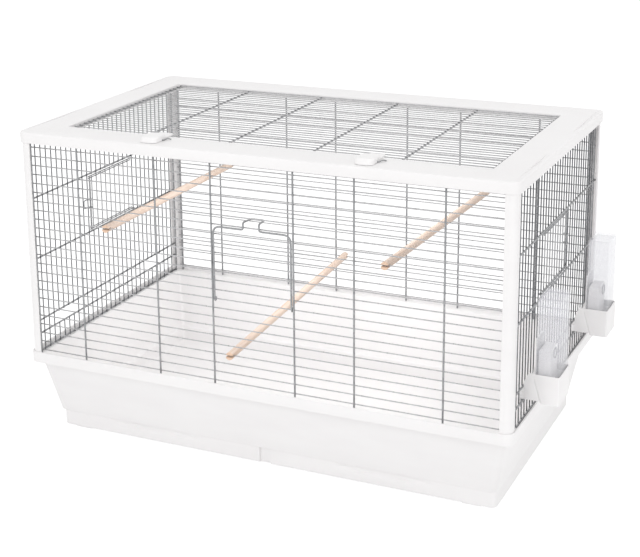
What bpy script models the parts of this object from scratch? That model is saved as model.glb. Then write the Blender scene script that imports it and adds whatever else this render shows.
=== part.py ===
"""Bird cage: a wire cage with a white plastic tray, roof frame, doors and feeders.

Metres, +Z up. The front faces -Y and the feeders hang on the +X wall. The sizes
below are measured from the middle of the cage itself, and the finished cage is
then moved so that the origin is at the bottom centre of its box, feeders included.
"""
import math

import bmesh
import bpy
from mathutils import Matrix, Vector

# Overall size and clearances
LENGTH = 0.800
DEPTH = 0.485
HEIGHT = 0.500
SEAT_GAP = 0.0003
SLIDE_GAP = 0.0005
CORNER_RADIUS = 0.015
CORNER_STEPS = 4
CUTTER_CLEAR = 0.010

# Wires. A drawn wire is a four-sided bar of about the round wire's area.
THIN_WIRE = 0.0008
THICK_WIRE = 0.0013
SQUARED = 1.15
WELD_DEPTH = 0.0003
WELD_SHARE = 0.6
THIN = THIN_WIRE * SQUARED
THICK = THICK_WIRE * SQUARED
WELD_PAST = THICK * WELD_SHARE

# Tray
RIM_HEIGHT = 0.138
RIM_SKIRT = 0.018
LEDGE_DROP = 0.008
RIM_WALL = 0.0027
TRAY_WALL = 0.0025
RIM_OVERHANG_X = 0.0115
RIM_OVERHANG_Y = 0.0120
BODY_RADIUS = 0.008
LOW_RADIUS = 0.008
TRAY_TAPER_X = 0.0195
TRAY_TAPER_Y = 0.0235
FOOT_HEIGHT = 0.0285
FOOT_RADIUS = 0.010
FOOT_INSET_X = 0.002
FOOT_INSET_Y = 0.004
FOOT_LIFT = 0.002
FOOT_WALL = 0.0045
FLOOR_Z = 0.006
PAD_LENGTH = 0.030
PAD_WIDTH = 0.014
PAD_INSET = 0.022
PAD_SET = 0.001
FOOT_GAP = 0.018
FOOT_GAP_DEPTH = 0.003
SCOOP_LENGTH = 0.157
SCOOP_CENTRE = 0.1935
SCOOP_HEIGHT = 0.011
SCOOP_RISE = 0.0215
SCOOP_DEPTH = 0.0012
SCOOP_SIDES = 16

# Roof frame
FRAME_SKIRT = 0.017
FRAME_WALL = 0.0025
FRAME_PLATE = 0.003
FRAME_ROUND = 0.0015
SIDE_BORDER = 0.055
FRONT_BORDER = 0.0615
OPENING_RADIUS = 0.004
SEAT_RADIUS = 0.003
SEAT_LEDGE = 0.0030
SEAT_LEDGE_THICK = 0.0022
MARK_LENGTH = 0.044
MARK_WIDTH = 0.0035
MARK_DEPTH = 0.001
MARK_INSET = 0.007
MARK_FROM_END = 0.1425

# Corner posts
POST_WIDTH = 0.0175
POST_WALL = 0.0025
POST_FOOT_WIDTH = 0.030
POST_FOOT_HEIGHT = 0.006

# Front and back walls: how far the wires stand inside the outline, rows and bars
WALL_INSET = 0.0095
ROW_INSET = 0.015
ROW_COUNT = 24
ROW_FIRST = 0.0105
ROW_LAST_DROP = 0.0247
BAR_SHARES = (0.20125, 0.37)
BAR_END_INSET = 0.0050
BAR_END_DROP = 0.0015

# Side walls: the slots and doors count in gaps between wires from the middle
SIDE_INSET = 0.010
SIDE_WIRES = 30
EDGE_INSET = 0.007
EDGE_SPACE = 0.01575
SLOT_RISE = 0.031
SLOT_HEIGHT = 0.022
SLOT_WIRES = 4
SLOT_PLACE = 10
SIDE_OPENING_DROP = 0.113
SIDE_OPENING_HEIGHT = 0.100

# Front door
DOOR_BAR_X = 0.0665
DOOR_ROW_LOW = 9
DOOR_ROW_HIGH = 17
DOOR_SIDE_GAP = 0.0035
DOOR_TOP_DROP = 0.0028
DOOR_CORNER = 0.010
LOOP_RADIUS = 0.0029
CATCH_LEFT = -0.0135
CATCH_RIGHT = 0.0125
CATCH_OVER = 0.0085
CATCH_REACH = 0.021
CATCH_BEND = 0.003

# Side doors
SIDE_DOOR_HINGE = 5.5
SIDE_DOOR_LATCH = 4
SIDE_DOOR_UNDER = 0.0040
SIDE_DOOR_OVER = 0.0042
DOUBLE_WIRE = 0.0030
LOOP_SPACE = 0.0022
LOOP_WIRE = THIN * 0.9
CLIP_RISE = 0.0384
CLIP_HEIGHT = 0.014
CLIP_REACH = 0.0135
CLIP_LOOP = 0.0034
CLIP_STAND = 0.001
CLIP_BEND = 0.003

# Lid and its latches
LID_GAP = 0.0025
LID_DROP = 0.0030
LID_WIRES = 28
LID_BAR_SHARES = (0.2, 0.6)
LATCH_SHARE = 0.5
LATCH_WIDTH = 0.029
LATCH_LENGTH = 0.036
LATCH_OVER_FRAME = 0.052
LATCH_THICK = 0.008
LATCH_RAISE = 0.0006
LATCH_CORNER = 0.009
LATCH_ROUND = 0.0020
LATCH_SLOPE = 0.0045
TONGUE_WIDTH = 0.024
TONGUE_OVER_LID = 0.009
TONGUE_THICK = 0.0024

# Perches: the row and x of the front end, then of the back end
PERCH_RADIUS = 0.006
PERCH_SIDES = 14
PERCH_PAST = 0.0055
PERCH_SLOT_HEIGHT = 0.0026
PERCH_SLOT_DEPTH = 0.0085
PERCHES = (
    ("left_perch", 15, -0.249, 14, -0.275),
    ("middle_perch", 3, -0.040, 4, -0.050),
    ("right_perch", 15, 0.208, 14, 0.208),
)

# Feeders
FEEDER_STAND = 0.015
CUP_WIDTH = 0.057
CUP_DEPTH = 0.0405
CUP_LEAN = 0.0135
CUP_RISE = 0.001
CUP_HEIGHT = 0.043
CUP_WALL = 0.0016
WELL_STEP = 0.0008
HOOD_WALL = 0.0014
HOOD_SINK = 0.010
HOOD_HEIGHT = 0.1225
HOOD_RECESS = 0.002
PLATE_SET = 0.0025
PLATE_THICK = 0.0019
PLATE_RISE = 0.051
PLATE_ROOT = 0.002
PLATE_STEP = 0.0001
CHUTE_DEPTH = 0.0171
CHUTE_RISE = 0.0335
CHUTE_WIDTH = 0.038
NECK_WIDTH = 0.046
NECK_HEIGHT = 0.010
NECK_WALL = 0.0020
LIP_DROP = 0.013
CHEEK_RISE = 0.004
CHEEK_THICK = 0.006
CHEEK_INSET = 0.0003
CHEEK_CUT = (0.005, 0.008)
CHEEK_TOP_CUT = (0.006, 0.013)
CHEEK_OVERLAP = 0.001
RING_RADIUS = 0.0075
RING_SIDES = 12
RING_SPACE = 0.0030
RING_ASIDE = 0.010
RING_OVER = 0.004

# Levels and planes worked out from the sizes above
LEDGE_Z = RIM_HEIGHT - LEDGE_DROP
PLATE_UNDER = HEIGHT - FRAME_PLATE
FRAME_LOW = HEIGHT - FRAME_SKIRT
OPENING_X = LENGTH / 2 - SIDE_BORDER
OPENING_Y = DEPTH / 2 - FRONT_BORDER
WALL_FOOT = LEDGE_Z + SEAT_GAP
WALL_TOP = PLATE_UNDER - BAR_END_DROP
WALL_Y = DEPTH / 2 - WALL_INSET
BAR_Y = WALL_Y + THIN + THICK - WELD_DEPTH
ROW_REACH = LENGTH / 2 - ROW_INSET
ROW_START = LEDGE_Z + ROW_FIRST
ROW_PITCH = (HEIGHT - ROW_LAST_DROP - ROW_START) / (ROW_COUNT - 1)
BAR_X = (DOOR_BAR_X, *(LENGTH * share for share in BAR_SHARES), ROW_REACH - BAR_END_INSET)
SIDE_X = LENGTH / 2 - SIDE_INSET
ROD_X = SIDE_X + THIN + THICK - WELD_DEPTH
EDGE_X = ROD_X - 2 * THICK + WELD_DEPTH
DOOR_EDGE_X = SIDE_X + THIN - THICK
EDGE_Y = WALL_Y - EDGE_INSET
SIDE_PITCH = 2 * (EDGE_Y - EDGE_SPACE) / (SIDE_WIRES - 1)
SLOT_CENTRE = SLOT_PLACE * SIDE_PITCH
BOTTOM_ROD_Z = WALL_FOOT + THICK
SLOT_LOW = LEDGE_Z + SLOT_RISE
SLOT_HIGH = SLOT_LOW + SLOT_HEIGHT
OPENING_HIGH = HEIGHT - SIDE_OPENING_DROP
OPENING_LOW = OPENING_HIGH - SIDE_OPENING_HEIGHT
HINGE_Z = ROW_START + DOOR_ROW_LOW * ROW_PITCH
DOOR_TOP = ROW_START + DOOR_ROW_HIGH * ROW_PITCH - DOOR_TOP_DROP
CATCH_TOP = ROW_START + DOOR_ROW_HIGH * ROW_PITCH + CATCH_OVER
FRONT_DOOR_Y = WALL_Y + LOOP_RADIUS
FRONT_DOOR_X = DOOR_BAR_X - DOOR_SIDE_GAP
HINGE_Y = SIDE_DOOR_HINGE * SIDE_PITCH
LATCH_EDGE_Y = SIDE_DOOR_LATCH * SIDE_PITCH
SIDE_DOOR_TOP = OPENING_HIGH - SIDE_DOOR_UNDER
SIDE_DOOR_BOTTOM = OPENING_LOW + SIDE_DOOR_OVER
CLIP_LOW = SIDE_DOOR_BOTTOM + CLIP_RISE
CLIP_HIGH = CLIP_LOW + CLIP_HEIGHT
LID_REST_Z = HEIGHT - LID_DROP
LID_X = OPENING_X - LID_GAP
LID_Y = OPENING_Y - LID_GAP
LID_BAR_Z = LID_REST_Z - THIN - THICK + WELD_DEPTH
SEAT_Z = LID_BAR_Z - THICK - SEAT_GAP
LATCH_X = OPENING_X * LATCH_SHARE
LATCH_FRONT = OPENING_Y + LATCH_OVER_FRAME
TONGUE_BACK = OPENING_Y - TONGUE_OVER_LID
CUP_INNER_TOP = SIDE_X + FEEDER_STAND
CUP_INNER_BOTTOM = CUP_INNER_TOP + CUP_LEAN
CUP_OUTER = CUP_INNER_TOP + CUP_DEPTH
CUP_BOTTOM = SLOT_LOW + CUP_RISE
CUP_TOP = CUP_BOTTOM + CUP_HEIGHT
HOOD_LOW = CUP_TOP - HOOD_SINK
HOOD_TOP = HOOD_LOW + HOOD_HEIGHT
PLATE_INNER = CUP_INNER_TOP + PLATE_SET
CUP_BACK = PLATE_INNER + PLATE_THICK + PLATE_STEP
CHUTE_INNER = CUP_BACK + HOOD_WALL + 2 * SLIDE_GAP
CHUTE_OUTER = CHUTE_INNER + CHUTE_DEPTH
MIDDLE_X = (CUP_OUTER - LENGTH / 2) / 2

WHITE = ("white_plastic", (0.90, 0.90, 0.92, 1.0), 0.38, 0.0)
CLEAR = ("clear_plastic", (0.80, 0.80, 0.86, 1.0), 0.15, 0.0)
STEEL = ("steel_wire", (0.42, 0.43, 0.46, 1.0), 0.32, 0.9)
WOOD = ("perch_wood", (0.84, 0.66, 0.52, 1.0), 0.60, 0.0)


def clear_scene():
    """Remove every object that the scene starts with."""
    for item in list(bpy.data.objects):
        bpy.data.objects.remove(item, do_unlink=True)


def make_collection(name):
    """Add a collection to the scene."""
    group = bpy.data.collections.new(name)
    bpy.context.scene.collection.children.link(group)
    return group


def make_material(node_name, finish):
    """Make the Principled material of one sub-part."""
    label, colour, roughness, metallic = finish
    material = bpy.data.materials.new(node_name + "_" + label)
    material.use_nodes = True
    shader = material.node_tree.nodes["Principled BSDF"]
    shader.inputs["Base Color"].default_value = colour
    shader.inputs["Roughness"].default_value = roughness
    shader.inputs["Metallic"].default_value = metallic
    return material


def object_from(bm, name, group):
    """Turn a bmesh into an object of the collection."""
    bmesh.ops.recalc_face_normals(bm, faces=bm.faces[:])
    mesh = bpy.data.meshes.new(name)
    bm.to_mesh(mesh)
    bm.free()
    item = bpy.data.objects.new(name, mesh)
    group.objects.link(item)
    return item


def set_origin(item, point):
    """Move an object's origin to a point and leave its shape where it is."""
    item.data.transform(Matrix.Translation(-Vector(point)))
    item.location = point


def finish_part(item, name, finish, origin=(0.0, 0.0, 0.0), parent=None):
    """Name a finished sub-part, give it its material, its origin and its parent."""
    item.name = name
    item.data.name = name
    item.data.materials.clear()
    item.data.materials.append(make_material(name, finish))
    item.data.shade_smooth()
    item.data.set_sharp_from_angle(angle=math.radians(35))
    set_origin(item, origin)
    if parent is not None:
        item.parent = parent
        item.matrix_parent_inverse = Matrix.Translation(-parent.location)
    return item


def evaluated_copy(item, name, group):
    """Make a mesh object of what an object's modifiers or curve give."""
    bpy.context.view_layer.update()
    graph = bpy.context.evaluated_depsgraph_get()
    mesh = bpy.data.meshes.new_from_object(item.evaluated_get(graph))
    bm = bmesh.new()
    bm.from_mesh(mesh)
    bm.transform(item.matrix_world)
    bmesh.ops.remove_doubles(bm, verts=bm.verts[:], dist=0.000005)
    bpy.data.objects.remove(item, do_unlink=True)
    return object_from(bm, name, group)


def combine(base, others, operation, group):
    """Join others to base, or cut them from it, one after another."""
    for other in others:
        cutter_group.objects.link(other)
        group.objects.unlink(other)
        other.hide_render = True
        other.display_type = 'WIRE'
        modifier = base.modifiers.new(operation.lower(), 'BOOLEAN')
        modifier.operation = operation
        modifier.solver = 'EXACT'
        modifier.object = other
        base = evaluated_copy(base, base.name, group)
        bpy.data.objects.remove(other, do_unlink=True)
    return base


def add_bar(bm, start, end, radius):
    """Add one straight wire, its four ridges turned to the axes."""
    start = Vector(start)
    along = Vector(end) - start
    side = Vector((1, 0, 0)) if abs(along.normalized().x) < 0.9 else Vector((0, 0, 1))
    third = along.normalized().cross(side).normalized()
    side = third.cross(along.normalized())
    turn = Matrix((side, third, along.normalized())).transposed().to_4x4()
    place = Matrix.Translation(start + along / 2) @ turn
    bmesh.ops.create_cone(bm, cap_ends=True, segments=4, radius1=radius,
                          radius2=radius, depth=along.length, matrix=place)


def bars_object(name, bars, group):
    """Make one object of straight wires that don't touch each other."""
    bm = bmesh.new()
    for start, end, radius in bars:
        add_bar(bm, start, end, radius)
    return object_from(bm, name, group)


def bent_wire(name, points, radius, group, closed=False, sides=1):
    """Make a bent wire or a ring as a curve with round section, then a mesh."""
    curve = bpy.data.curves.new(name, 'CURVE')
    curve.dimensions = '3D'
    curve.bevel_depth = radius
    curve.bevel_resolution = sides
    curve.use_fill_caps = True
    spline = curve.splines.new('POLY')
    spline.points.add(len(points) - 1)
    for slot, point in zip(spline.points, points):
        slot.co = (*point, 1.0)
    spline.use_cyclic_u = closed
    item = bpy.data.objects.new(name, curve)
    group.objects.link(item)
    return evaluated_copy(item, name, group)


def ring_points(centre, radius, first, second, count=10, start=0.0):
    """Points of a ring in the plane of two directions."""
    points = []
    for step in range(count):
        angle = start + 2 * math.pi * step / count
        offset = Vector(first) * math.cos(angle) + Vector(second) * math.sin(angle)
        points.append(Vector(centre) + radius * offset)
    return points


def rounded_outline(half_x, half_y, radius):
    """Corner points of a rounded rectangle, anticlockwise from the +X side."""
    points = []
    for quarter, (sign_x, sign_y) in enumerate(((1, 1), (-1, 1), (-1, -1), (1, -1))):
        for step in range(CORNER_STEPS + 1):
            angle = math.pi / 2 * (quarter + step / CORNER_STEPS)
            points.append((sign_x * (half_x - radius) + radius * math.cos(angle),
                           sign_y * (half_y - radius) + radius * math.sin(angle)))
    return points


def loft(sections, close_ring, name, group):
    """Join outlines of equal count, each at its height, into one solid."""
    bm = bmesh.new()
    rings = [[bm.verts.new((x, y, z)) for x, y in outline] for outline, z in sections]
    pairs = list(zip(rings, rings[1:]))
    if close_ring:
        pairs.append((rings[-1], rings[0]))
    for lower, upper in pairs:
        for index in range(len(lower)):
            after = (index + 1) % len(lower)
            bm.faces.new((lower[index], lower[after], upper[after], upper[index]))
    if not close_ring:
        bm.faces.new(rings[0][::-1])
        bm.faces.new(rings[-1])
    return object_from(bm, name, group)


def box(low, high, name, group):
    """Make a box between two corners."""
    bm = bmesh.new()
    bmesh.ops.create_cube(bm, size=1.0)
    low = Vector(low)
    high = Vector(high)
    bm.transform(Matrix.Translation((low + high) / 2) @ Matrix.Diagonal((*(high - low), 1.0)))
    return object_from(bm, name, group)


def side_prism(outline, low_y, high_y, name, group):
    """Extrude an outline of (x, z) points along Y."""
    bm = bmesh.new()
    front = [bm.verts.new((x, low_y, z)) for x, z in outline]
    face = bm.faces.new(front)
    moved = bmesh.ops.extrude_face_region(bm, geom=[face])
    corners = [v for v in moved['geom'] if isinstance(v, bmesh.types.BMVert)]
    bmesh.ops.translate(bm, verts=corners, vec=(0, high_y - low_y, 0))
    return object_from(bm, name, group)


def build_tray(group):
    """Deep white tray: rim, ledge for the walls, tapered body and foot band."""
    rim_x, rim_y = LENGTH / 2, DEPTH / 2
    body_x, body_y = rim_x - RIM_OVERHANG_X, rim_y - RIM_OVERHANG_Y
    low_x, low_y = body_x - TRAY_TAPER_X, body_y - TRAY_TAPER_Y
    foot_x, foot_y = low_x - FOOT_INSET_X, low_y - FOOT_INSET_Y

    def ring(half_x, half_y, inset, radius, z):
        return rounded_outline(half_x - inset, half_y - inset, radius), z

    inner_radius = CORNER_RADIUS - RIM_WALL
    hollow_radius = FOOT_RADIUS - FOOT_WALL
    sections = [
        ring(foot_x, foot_y, FOOT_WALL, hollow_radius, FLOOR_Z - TRAY_WALL),
        ring(foot_x, foot_y, FOOT_WALL, hollow_radius, FOOT_LIFT),
        ring(foot_x, foot_y, 0, FOOT_RADIUS, FOOT_LIFT),
        ring(foot_x, foot_y, 0, FOOT_RADIUS, FOOT_HEIGHT),
        ring(low_x, low_y, 0, LOW_RADIUS, FOOT_HEIGHT),
        ring(body_x, body_y, 0, BODY_RADIUS, LEDGE_Z - TRAY_WALL),
        ring(rim_x, rim_y, RIM_WALL, inner_radius, LEDGE_Z - TRAY_WALL),
        ring(rim_x, rim_y, RIM_WALL, inner_radius, RIM_HEIGHT - RIM_SKIRT),
        ring(rim_x, rim_y, 0, CORNER_RADIUS, RIM_HEIGHT - RIM_SKIRT),
        ring(rim_x, rim_y, 0, CORNER_RADIUS, RIM_HEIGHT),
        ring(rim_x, rim_y, RIM_WALL, inner_radius, RIM_HEIGHT),
        ring(rim_x, rim_y, RIM_WALL, inner_radius, LEDGE_Z),
        ring(body_x, body_y, TRAY_WALL, BODY_RADIUS - TRAY_WALL, LEDGE_Z),
        ring(low_x, low_y, TRAY_WALL, LOW_RADIUS - TRAY_WALL, FOOT_HEIGHT + 2 * TRAY_WALL),
        ring(foot_x, foot_y, FOOT_WALL, hollow_radius, FOOT_HEIGHT + TRAY_WALL),
        ring(foot_x, foot_y, FOOT_WALL, hollow_radius, FLOOR_Z),
    ]
    tray = loft(sections, False, "base_tray", group)
    pads = []
    for sign_x in (-1, 1):
        for sign_y in (-1, 1):
            near = Vector((sign_x * (foot_x - PAD_INSET), sign_y * (foot_y - PAD_SET - PAD_WIDTH), 0))
            far = Vector((sign_x * (foot_x - PAD_INSET - PAD_LENGTH), sign_y * (foot_y - PAD_SET),
                          FLOOR_Z - TRAY_WALL / 2))
            low = Vector(map(min, near, far))
            high = Vector(map(max, near, far))
            pads.append(box(low, high, "pad", group))
    tray = combine(tray, pads, 'UNION', group)
    cutters = []
    for sign_y in (-1, 1):
        edge = sign_y * foot_y
        cutters.append(box((-FOOT_GAP / 2, edge - FOOT_GAP_DEPTH, -PAD_LENGTH),
                           (FOOT_GAP / 2, edge + FOOT_GAP_DEPTH, FOOT_HEIGHT - FOOT_LIFT),
                           "gap", group))
        for sign_x in (-1, 1):
            cutters.append(build_scoop(sign_x * SCOOP_CENTRE, edge, group))
    return combine(tray, cutters, 'DIFFERENCE', group)


def build_scoop(centre_x, edge_y, group):
    """Lens-shaped finger scoop in the foot, as a shallow flattened drum."""
    bm = bmesh.new()
    place = Matrix.Translation((centre_x, edge_y, SCOOP_RISE))
    shape = Matrix.Diagonal((SCOOP_LENGTH / 2, SCOOP_DEPTH, SCOOP_HEIGHT / 2, 1.0))
    turn = Matrix.Rotation(math.pi / 2, 4, 'X')
    bmesh.ops.create_cone(bm, cap_ends=True, segments=SCOOP_SIDES, radius1=1.0, radius2=1.0,
                          depth=2.0, matrix=place @ shape @ turn)
    return object_from(bm, "scoop", group)


def build_frame(group):
    """White roof frame: a hollow ring with a ledge that the lid rests on."""
    half_x, half_y = LENGTH / 2, DEPTH / 2

    def ring(x, y, inset, radius, z):
        return rounded_outline(x - inset, y - inset, radius), z

    inner_radius = CORNER_RADIUS - FRAME_WALL
    outer_radius = OPENING_RADIUS + FRAME_WALL
    seat = SEAT_LEDGE + LID_GAP
    sections = [
        ring(half_x, half_y, 0, CORNER_RADIUS, FRAME_LOW),
        ring(half_x, half_y, 0, CORNER_RADIUS, HEIGHT - FRAME_ROUND),
        ring(half_x, half_y, FRAME_ROUND, CORNER_RADIUS - FRAME_ROUND, HEIGHT),
        ring(OPENING_X, OPENING_Y, 0, OPENING_RADIUS, HEIGHT),
        ring(OPENING_X, OPENING_Y, 0, OPENING_RADIUS, SEAT_Z),
        ring(OPENING_X, OPENING_Y, seat, SEAT_RADIUS, SEAT_Z),
        ring(OPENING_X, OPENING_Y, seat, SEAT_RADIUS, SEAT_Z - SEAT_LEDGE_THICK),
        ring(OPENING_X, OPENING_Y, -FRAME_WALL, outer_radius, SEAT_Z - SEAT_LEDGE_THICK),
        ring(OPENING_X, OPENING_Y, -FRAME_WALL, outer_radius, PLATE_UNDER),
        ring(half_x, half_y, FRAME_WALL, inner_radius, PLATE_UNDER),
        ring(half_x, half_y, FRAME_WALL, inner_radius, FRAME_LOW),
    ]
    frame = loft(sections, True, "top_frame", group)
    marks = []
    for sign_x in (-1, 1):
        for sign_y in (-1, 1):
            middle = Vector((sign_x * (half_x - MARK_INSET), sign_y * (half_y - MARK_FROM_END), HEIGHT))
            half = Vector((MARK_WIDTH / 2, MARK_LENGTH / 2, MARK_DEPTH))
            marks.append(box(middle - half, middle + half, "mark", group))
    return combine(frame, marks, 'DIFFERENCE', group)


def post_outline(leg, sign_x, sign_y):
    """L-shaped section of a corner post with a rounded outer corner."""
    out_x = LENGTH / 2 - FRAME_WALL - SLIDE_GAP
    out_y = DEPTH / 2 - FRAME_WALL - SLIDE_GAP
    radius = CORNER_RADIUS - FRAME_WALL - SLIDE_GAP
    points = [(out_x - leg, out_y - POST_WALL), (out_x - leg, out_y)]
    for step in range(CORNER_STEPS + 1):
        angle = math.pi / 2 * (1 - step / CORNER_STEPS)
        points.append((out_x - radius + radius * math.cos(angle),
                       out_y - radius + radius * math.sin(angle)))
    points += [(out_x, out_y - leg), (out_x - POST_WALL, out_y - leg)]
    inner = radius - POST_WALL
    for step in range(CORNER_STEPS + 1):
        angle = math.pi / 2 * step / CORNER_STEPS
        points.append((out_x - radius + inner * math.cos(angle),
                       out_y - radius + inner * math.sin(angle)))
    return [(sign_x * x, sign_y * y) for x, y in points]


def build_post(name, sign_x, sign_y, group):
    """Corner post standing on the tray's ledge, its top inside the frame."""
    sections = [
        (post_outline(POST_FOOT_WIDTH, sign_x, sign_y), WALL_FOOT),
        (post_outline(POST_FOOT_WIDTH, sign_x, sign_y), WALL_FOOT + POST_FOOT_HEIGHT),
        (post_outline(POST_WIDTH, sign_x, sign_y), WALL_FOOT + POST_FOOT_HEIGHT),
        (post_outline(POST_WIDTH, sign_x, sign_y), PLATE_UNDER - SEAT_GAP),
    ]
    return loft(sections, False, name, group)


def row_height(row):
    """Height of one wire row of the front and back walls."""
    return ROW_START + row * ROW_PITCH


def build_cross_wall(name, side, has_door, group):
    """Front or back wall: thin rows with thick bars outside them."""
    rows = []
    for row in range(ROW_COUNT):
        z = row_height(row)
        y = side * WALL_Y
        if has_door and DOOR_ROW_LOW < row < DOOR_ROW_HIGH:
            inner = DOOR_BAR_X + WELD_PAST
            rows.append(((-ROW_REACH, y, z), (-inner, y, z), THIN))
            rows.append(((inner, y, z), (ROW_REACH, y, z), THIN))
        else:
            rows.append(((-ROW_REACH, y, z), (ROW_REACH, y, z), THIN))
    bars = []
    for x in BAR_X:
        for sign_x in (-1, 1):
            bars.append(((sign_x * x, side * BAR_Y, WALL_FOOT),
                         (sign_x * x, side * BAR_Y, WALL_TOP), THICK))
    wall = bars_object(name, rows, group)
    return combine(wall, [bars_object("bars", bars, group)], 'UNION', group)


def side_wire_spans(y, turn):
    """Height spans of one side-wall wire, cut at the door and feeder slots."""
    low = BOTTOM_ROD_Z - WELD_PAST
    half_slot = SIDE_PITCH * SLOT_WIRES / 2
    door_y = y * turn
    if abs(abs(y) - SLOT_CENTRE) < half_slot:
        return ((low, SLOT_LOW + WELD_PAST), (SLOT_HIGH - WELD_PAST, WALL_TOP))
    if SIDE_PITCH / 2 - HINGE_Y < door_y < LATCH_EDGE_Y:
        return ((low, OPENING_LOW + WELD_PAST), (OPENING_HIGH - WELD_PAST, WALL_TOP))
    return ((low, WALL_TOP),)


def build_side_wall(name, side, group):
    """Side wall: thin upright wires welded behind thick level rods."""
    wires = []
    for index in range(SIDE_WIRES):
        y = (index - (SIDE_WIRES - 1) / 2) * SIDE_PITCH
        for low, high in side_wire_spans(y, side):
            wires.append(((side * SIDE_X, y, low), (side * SIDE_X, y, high), THIN))
    for sign_y in (-1, 1):
        wires.append(((side * EDGE_X, sign_y * EDGE_Y, WALL_FOOT),
                      (side * EDGE_X, sign_y * EDGE_Y, WALL_TOP), THICK))
    rods = []
    for z in (BOTTOM_ROD_Z, SLOT_LOW, SLOT_HIGH, OPENING_LOW, OPENING_HIGH):
        reach = EDGE_Y + THICK
        rods.append(((side * ROD_X, -reach, z), (side * ROD_X, reach, z), THICK))
    wall = bars_object(name, wires, group)
    return combine(wall, [bars_object("rods", rods, group)], 'UNION', group)


def front_door_path():
    """Route of the front door's frame wire, with the spring catch bent into it."""
    x, y = FRONT_DOOR_X, -FRONT_DOOR_Y
    path = [(-x, y, HINGE_Z)]
    for step in range(4):
        angle = math.pi - math.pi / 2 * step / 3
        path.append((-x + DOOR_CORNER + DOOR_CORNER * math.cos(angle), y,
                     DOOR_TOP - DOOR_CORNER + DOOR_CORNER * math.sin(angle)))
    high = CATCH_TOP
    bend = CATCH_BEND
    catch = [
        (CATCH_LEFT - bend, y, DOOR_TOP),
        (CATCH_LEFT, y, DOOR_TOP + bend),
        (CATCH_LEFT, y, high - bend),
        (CATCH_LEFT + bend, y + bend, high),
        (CATCH_LEFT + 2 * bend, y + CATCH_REACH - bend, high),
        (CATCH_LEFT + 3 * bend, y + CATCH_REACH, high),
        (CATCH_RIGHT - bend, y + CATCH_REACH, high),
        (CATCH_RIGHT, y + CATCH_REACH - bend, high),
        (CATCH_RIGHT, y + bend, high),
        (CATCH_RIGHT, y, high - bend),
        (CATCH_RIGHT, y, DOOR_TOP + bend),
        (CATCH_RIGHT + bend, y, DOOR_TOP),
    ]
    right = [(-px, py, pz) for px, py, pz in reversed(path)]
    return path + catch + right


def build_front_door(group):
    """Drop-down door: a bent frame wire, its loops on the hinge row and its rows."""
    door = bent_wire("front_door", front_door_path(), THICK, group)
    parts = []
    for sign_x in (-1, 1):
        points = ring_points((sign_x * FRONT_DOOR_X, -WALL_Y, HINGE_Z), LOOP_RADIUS,
                             (0, 1, 0), (0, 0, 1), start=math.pi)
        parts.append(bent_wire("loop", points, THIN, group, closed=True))
    inner_y = -FRONT_DOOR_Y + THICK + THIN - 2 * WELD_DEPTH
    rows = []
    for row in range(DOOR_ROW_LOW + 1, DOOR_ROW_HIGH):
        z = row_height(row)
        rows.append(((-FRONT_DOOR_X, inner_y, z), (FRONT_DOOR_X, inner_y, z), THIN))
    parts.append(bars_object("rows", rows, group))
    return combine(door, parts, 'UNION', group)


def build_side_door(name, side, group):
    """Side door panel with loops round a wall wire; one wall's is turned half round."""
    hinge_y = -HINGE_Y * side
    wires = []
    count = int(SIDE_DOOR_LATCH + SIDE_DOOR_HINGE)
    for index in range(1, count + 1):
        y = hinge_y + side * index * SIDE_PITCH
        wires.append(((side * SIDE_X, y, SIDE_DOOR_BOTTOM - THIN / 2),
                      (side * SIDE_X, y, SIDE_DOOR_TOP + THIN / 2), THIN))
    latch_y = side * LATCH_EDGE_Y
    wires.append(((side * DOOR_EDGE_X, latch_y, SIDE_DOOR_BOTTOM - THIN / 2),
                  (side * DOOR_EDGE_X, latch_y, SIDE_DOOR_TOP + THIN / 2), THICK))
    door = bars_object(name, wires, group)
    level_x = side * (SIDE_X + 2 * THIN - WELD_DEPTH)
    start_y = hinge_y + side * LOOP_SPACE
    levels = []
    for z in (SIDE_DOOR_BOTTOM, SIDE_DOOR_BOTTOM + DOUBLE_WIRE,
              SIDE_DOOR_TOP - DOUBLE_WIRE, SIDE_DOOR_TOP):
        levels.append(((level_x, start_y, z), (level_x, latch_y + side * THICK, z), THIN))
    parts = [bars_object("levels", levels, group)]
    for z in (SIDE_DOOR_BOTTOM, SIDE_DOOR_TOP):
        points = ring_points((side * SIDE_X, hinge_y, z), LOOP_RADIUS, (1, 0, 0), (0, 1, 0))
        parts.append(bent_wire("loop", points, LOOP_WIRE, group, closed=True))
    return combine(door, parts, 'UNION', group), (side * SIDE_X, hinge_y, SIDE_DOOR_BOTTOM)


def build_clip(name, side, group):
    """Wire clip that swings on the side door's latch edge."""
    latch_x = side * DOOR_EDGE_X
    latch_y = side * LATCH_EDGE_Y
    out_x = latch_x + side * CLIP_LOOP
    stand_x = out_x + side * CLIP_STAND
    end_y = latch_y - CLIP_REACH
    points = [
        (out_x, latch_y, CLIP_LOW),
        (stand_x, end_y + CLIP_BEND, CLIP_LOW),
        (stand_x, end_y, CLIP_LOW + CLIP_BEND),
        (stand_x, end_y, CLIP_HIGH - CLIP_BEND),
        (stand_x, end_y + CLIP_BEND, CLIP_HIGH),
        (out_x, latch_y, CLIP_HIGH),
    ]
    clip = bent_wire(name, points, THIN, group)
    loops = []
    for z in (CLIP_LOW, CLIP_HIGH):
        around = ring_points((latch_x, latch_y, z), CLIP_LOOP, (side, 0, 0), (0, 1, 0))
        loops.append(bent_wire("loop", around, THIN, group, closed=True))
    return combine(clip, loops, 'UNION', group), (latch_x, latch_y, CLIP_LOW)


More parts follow.
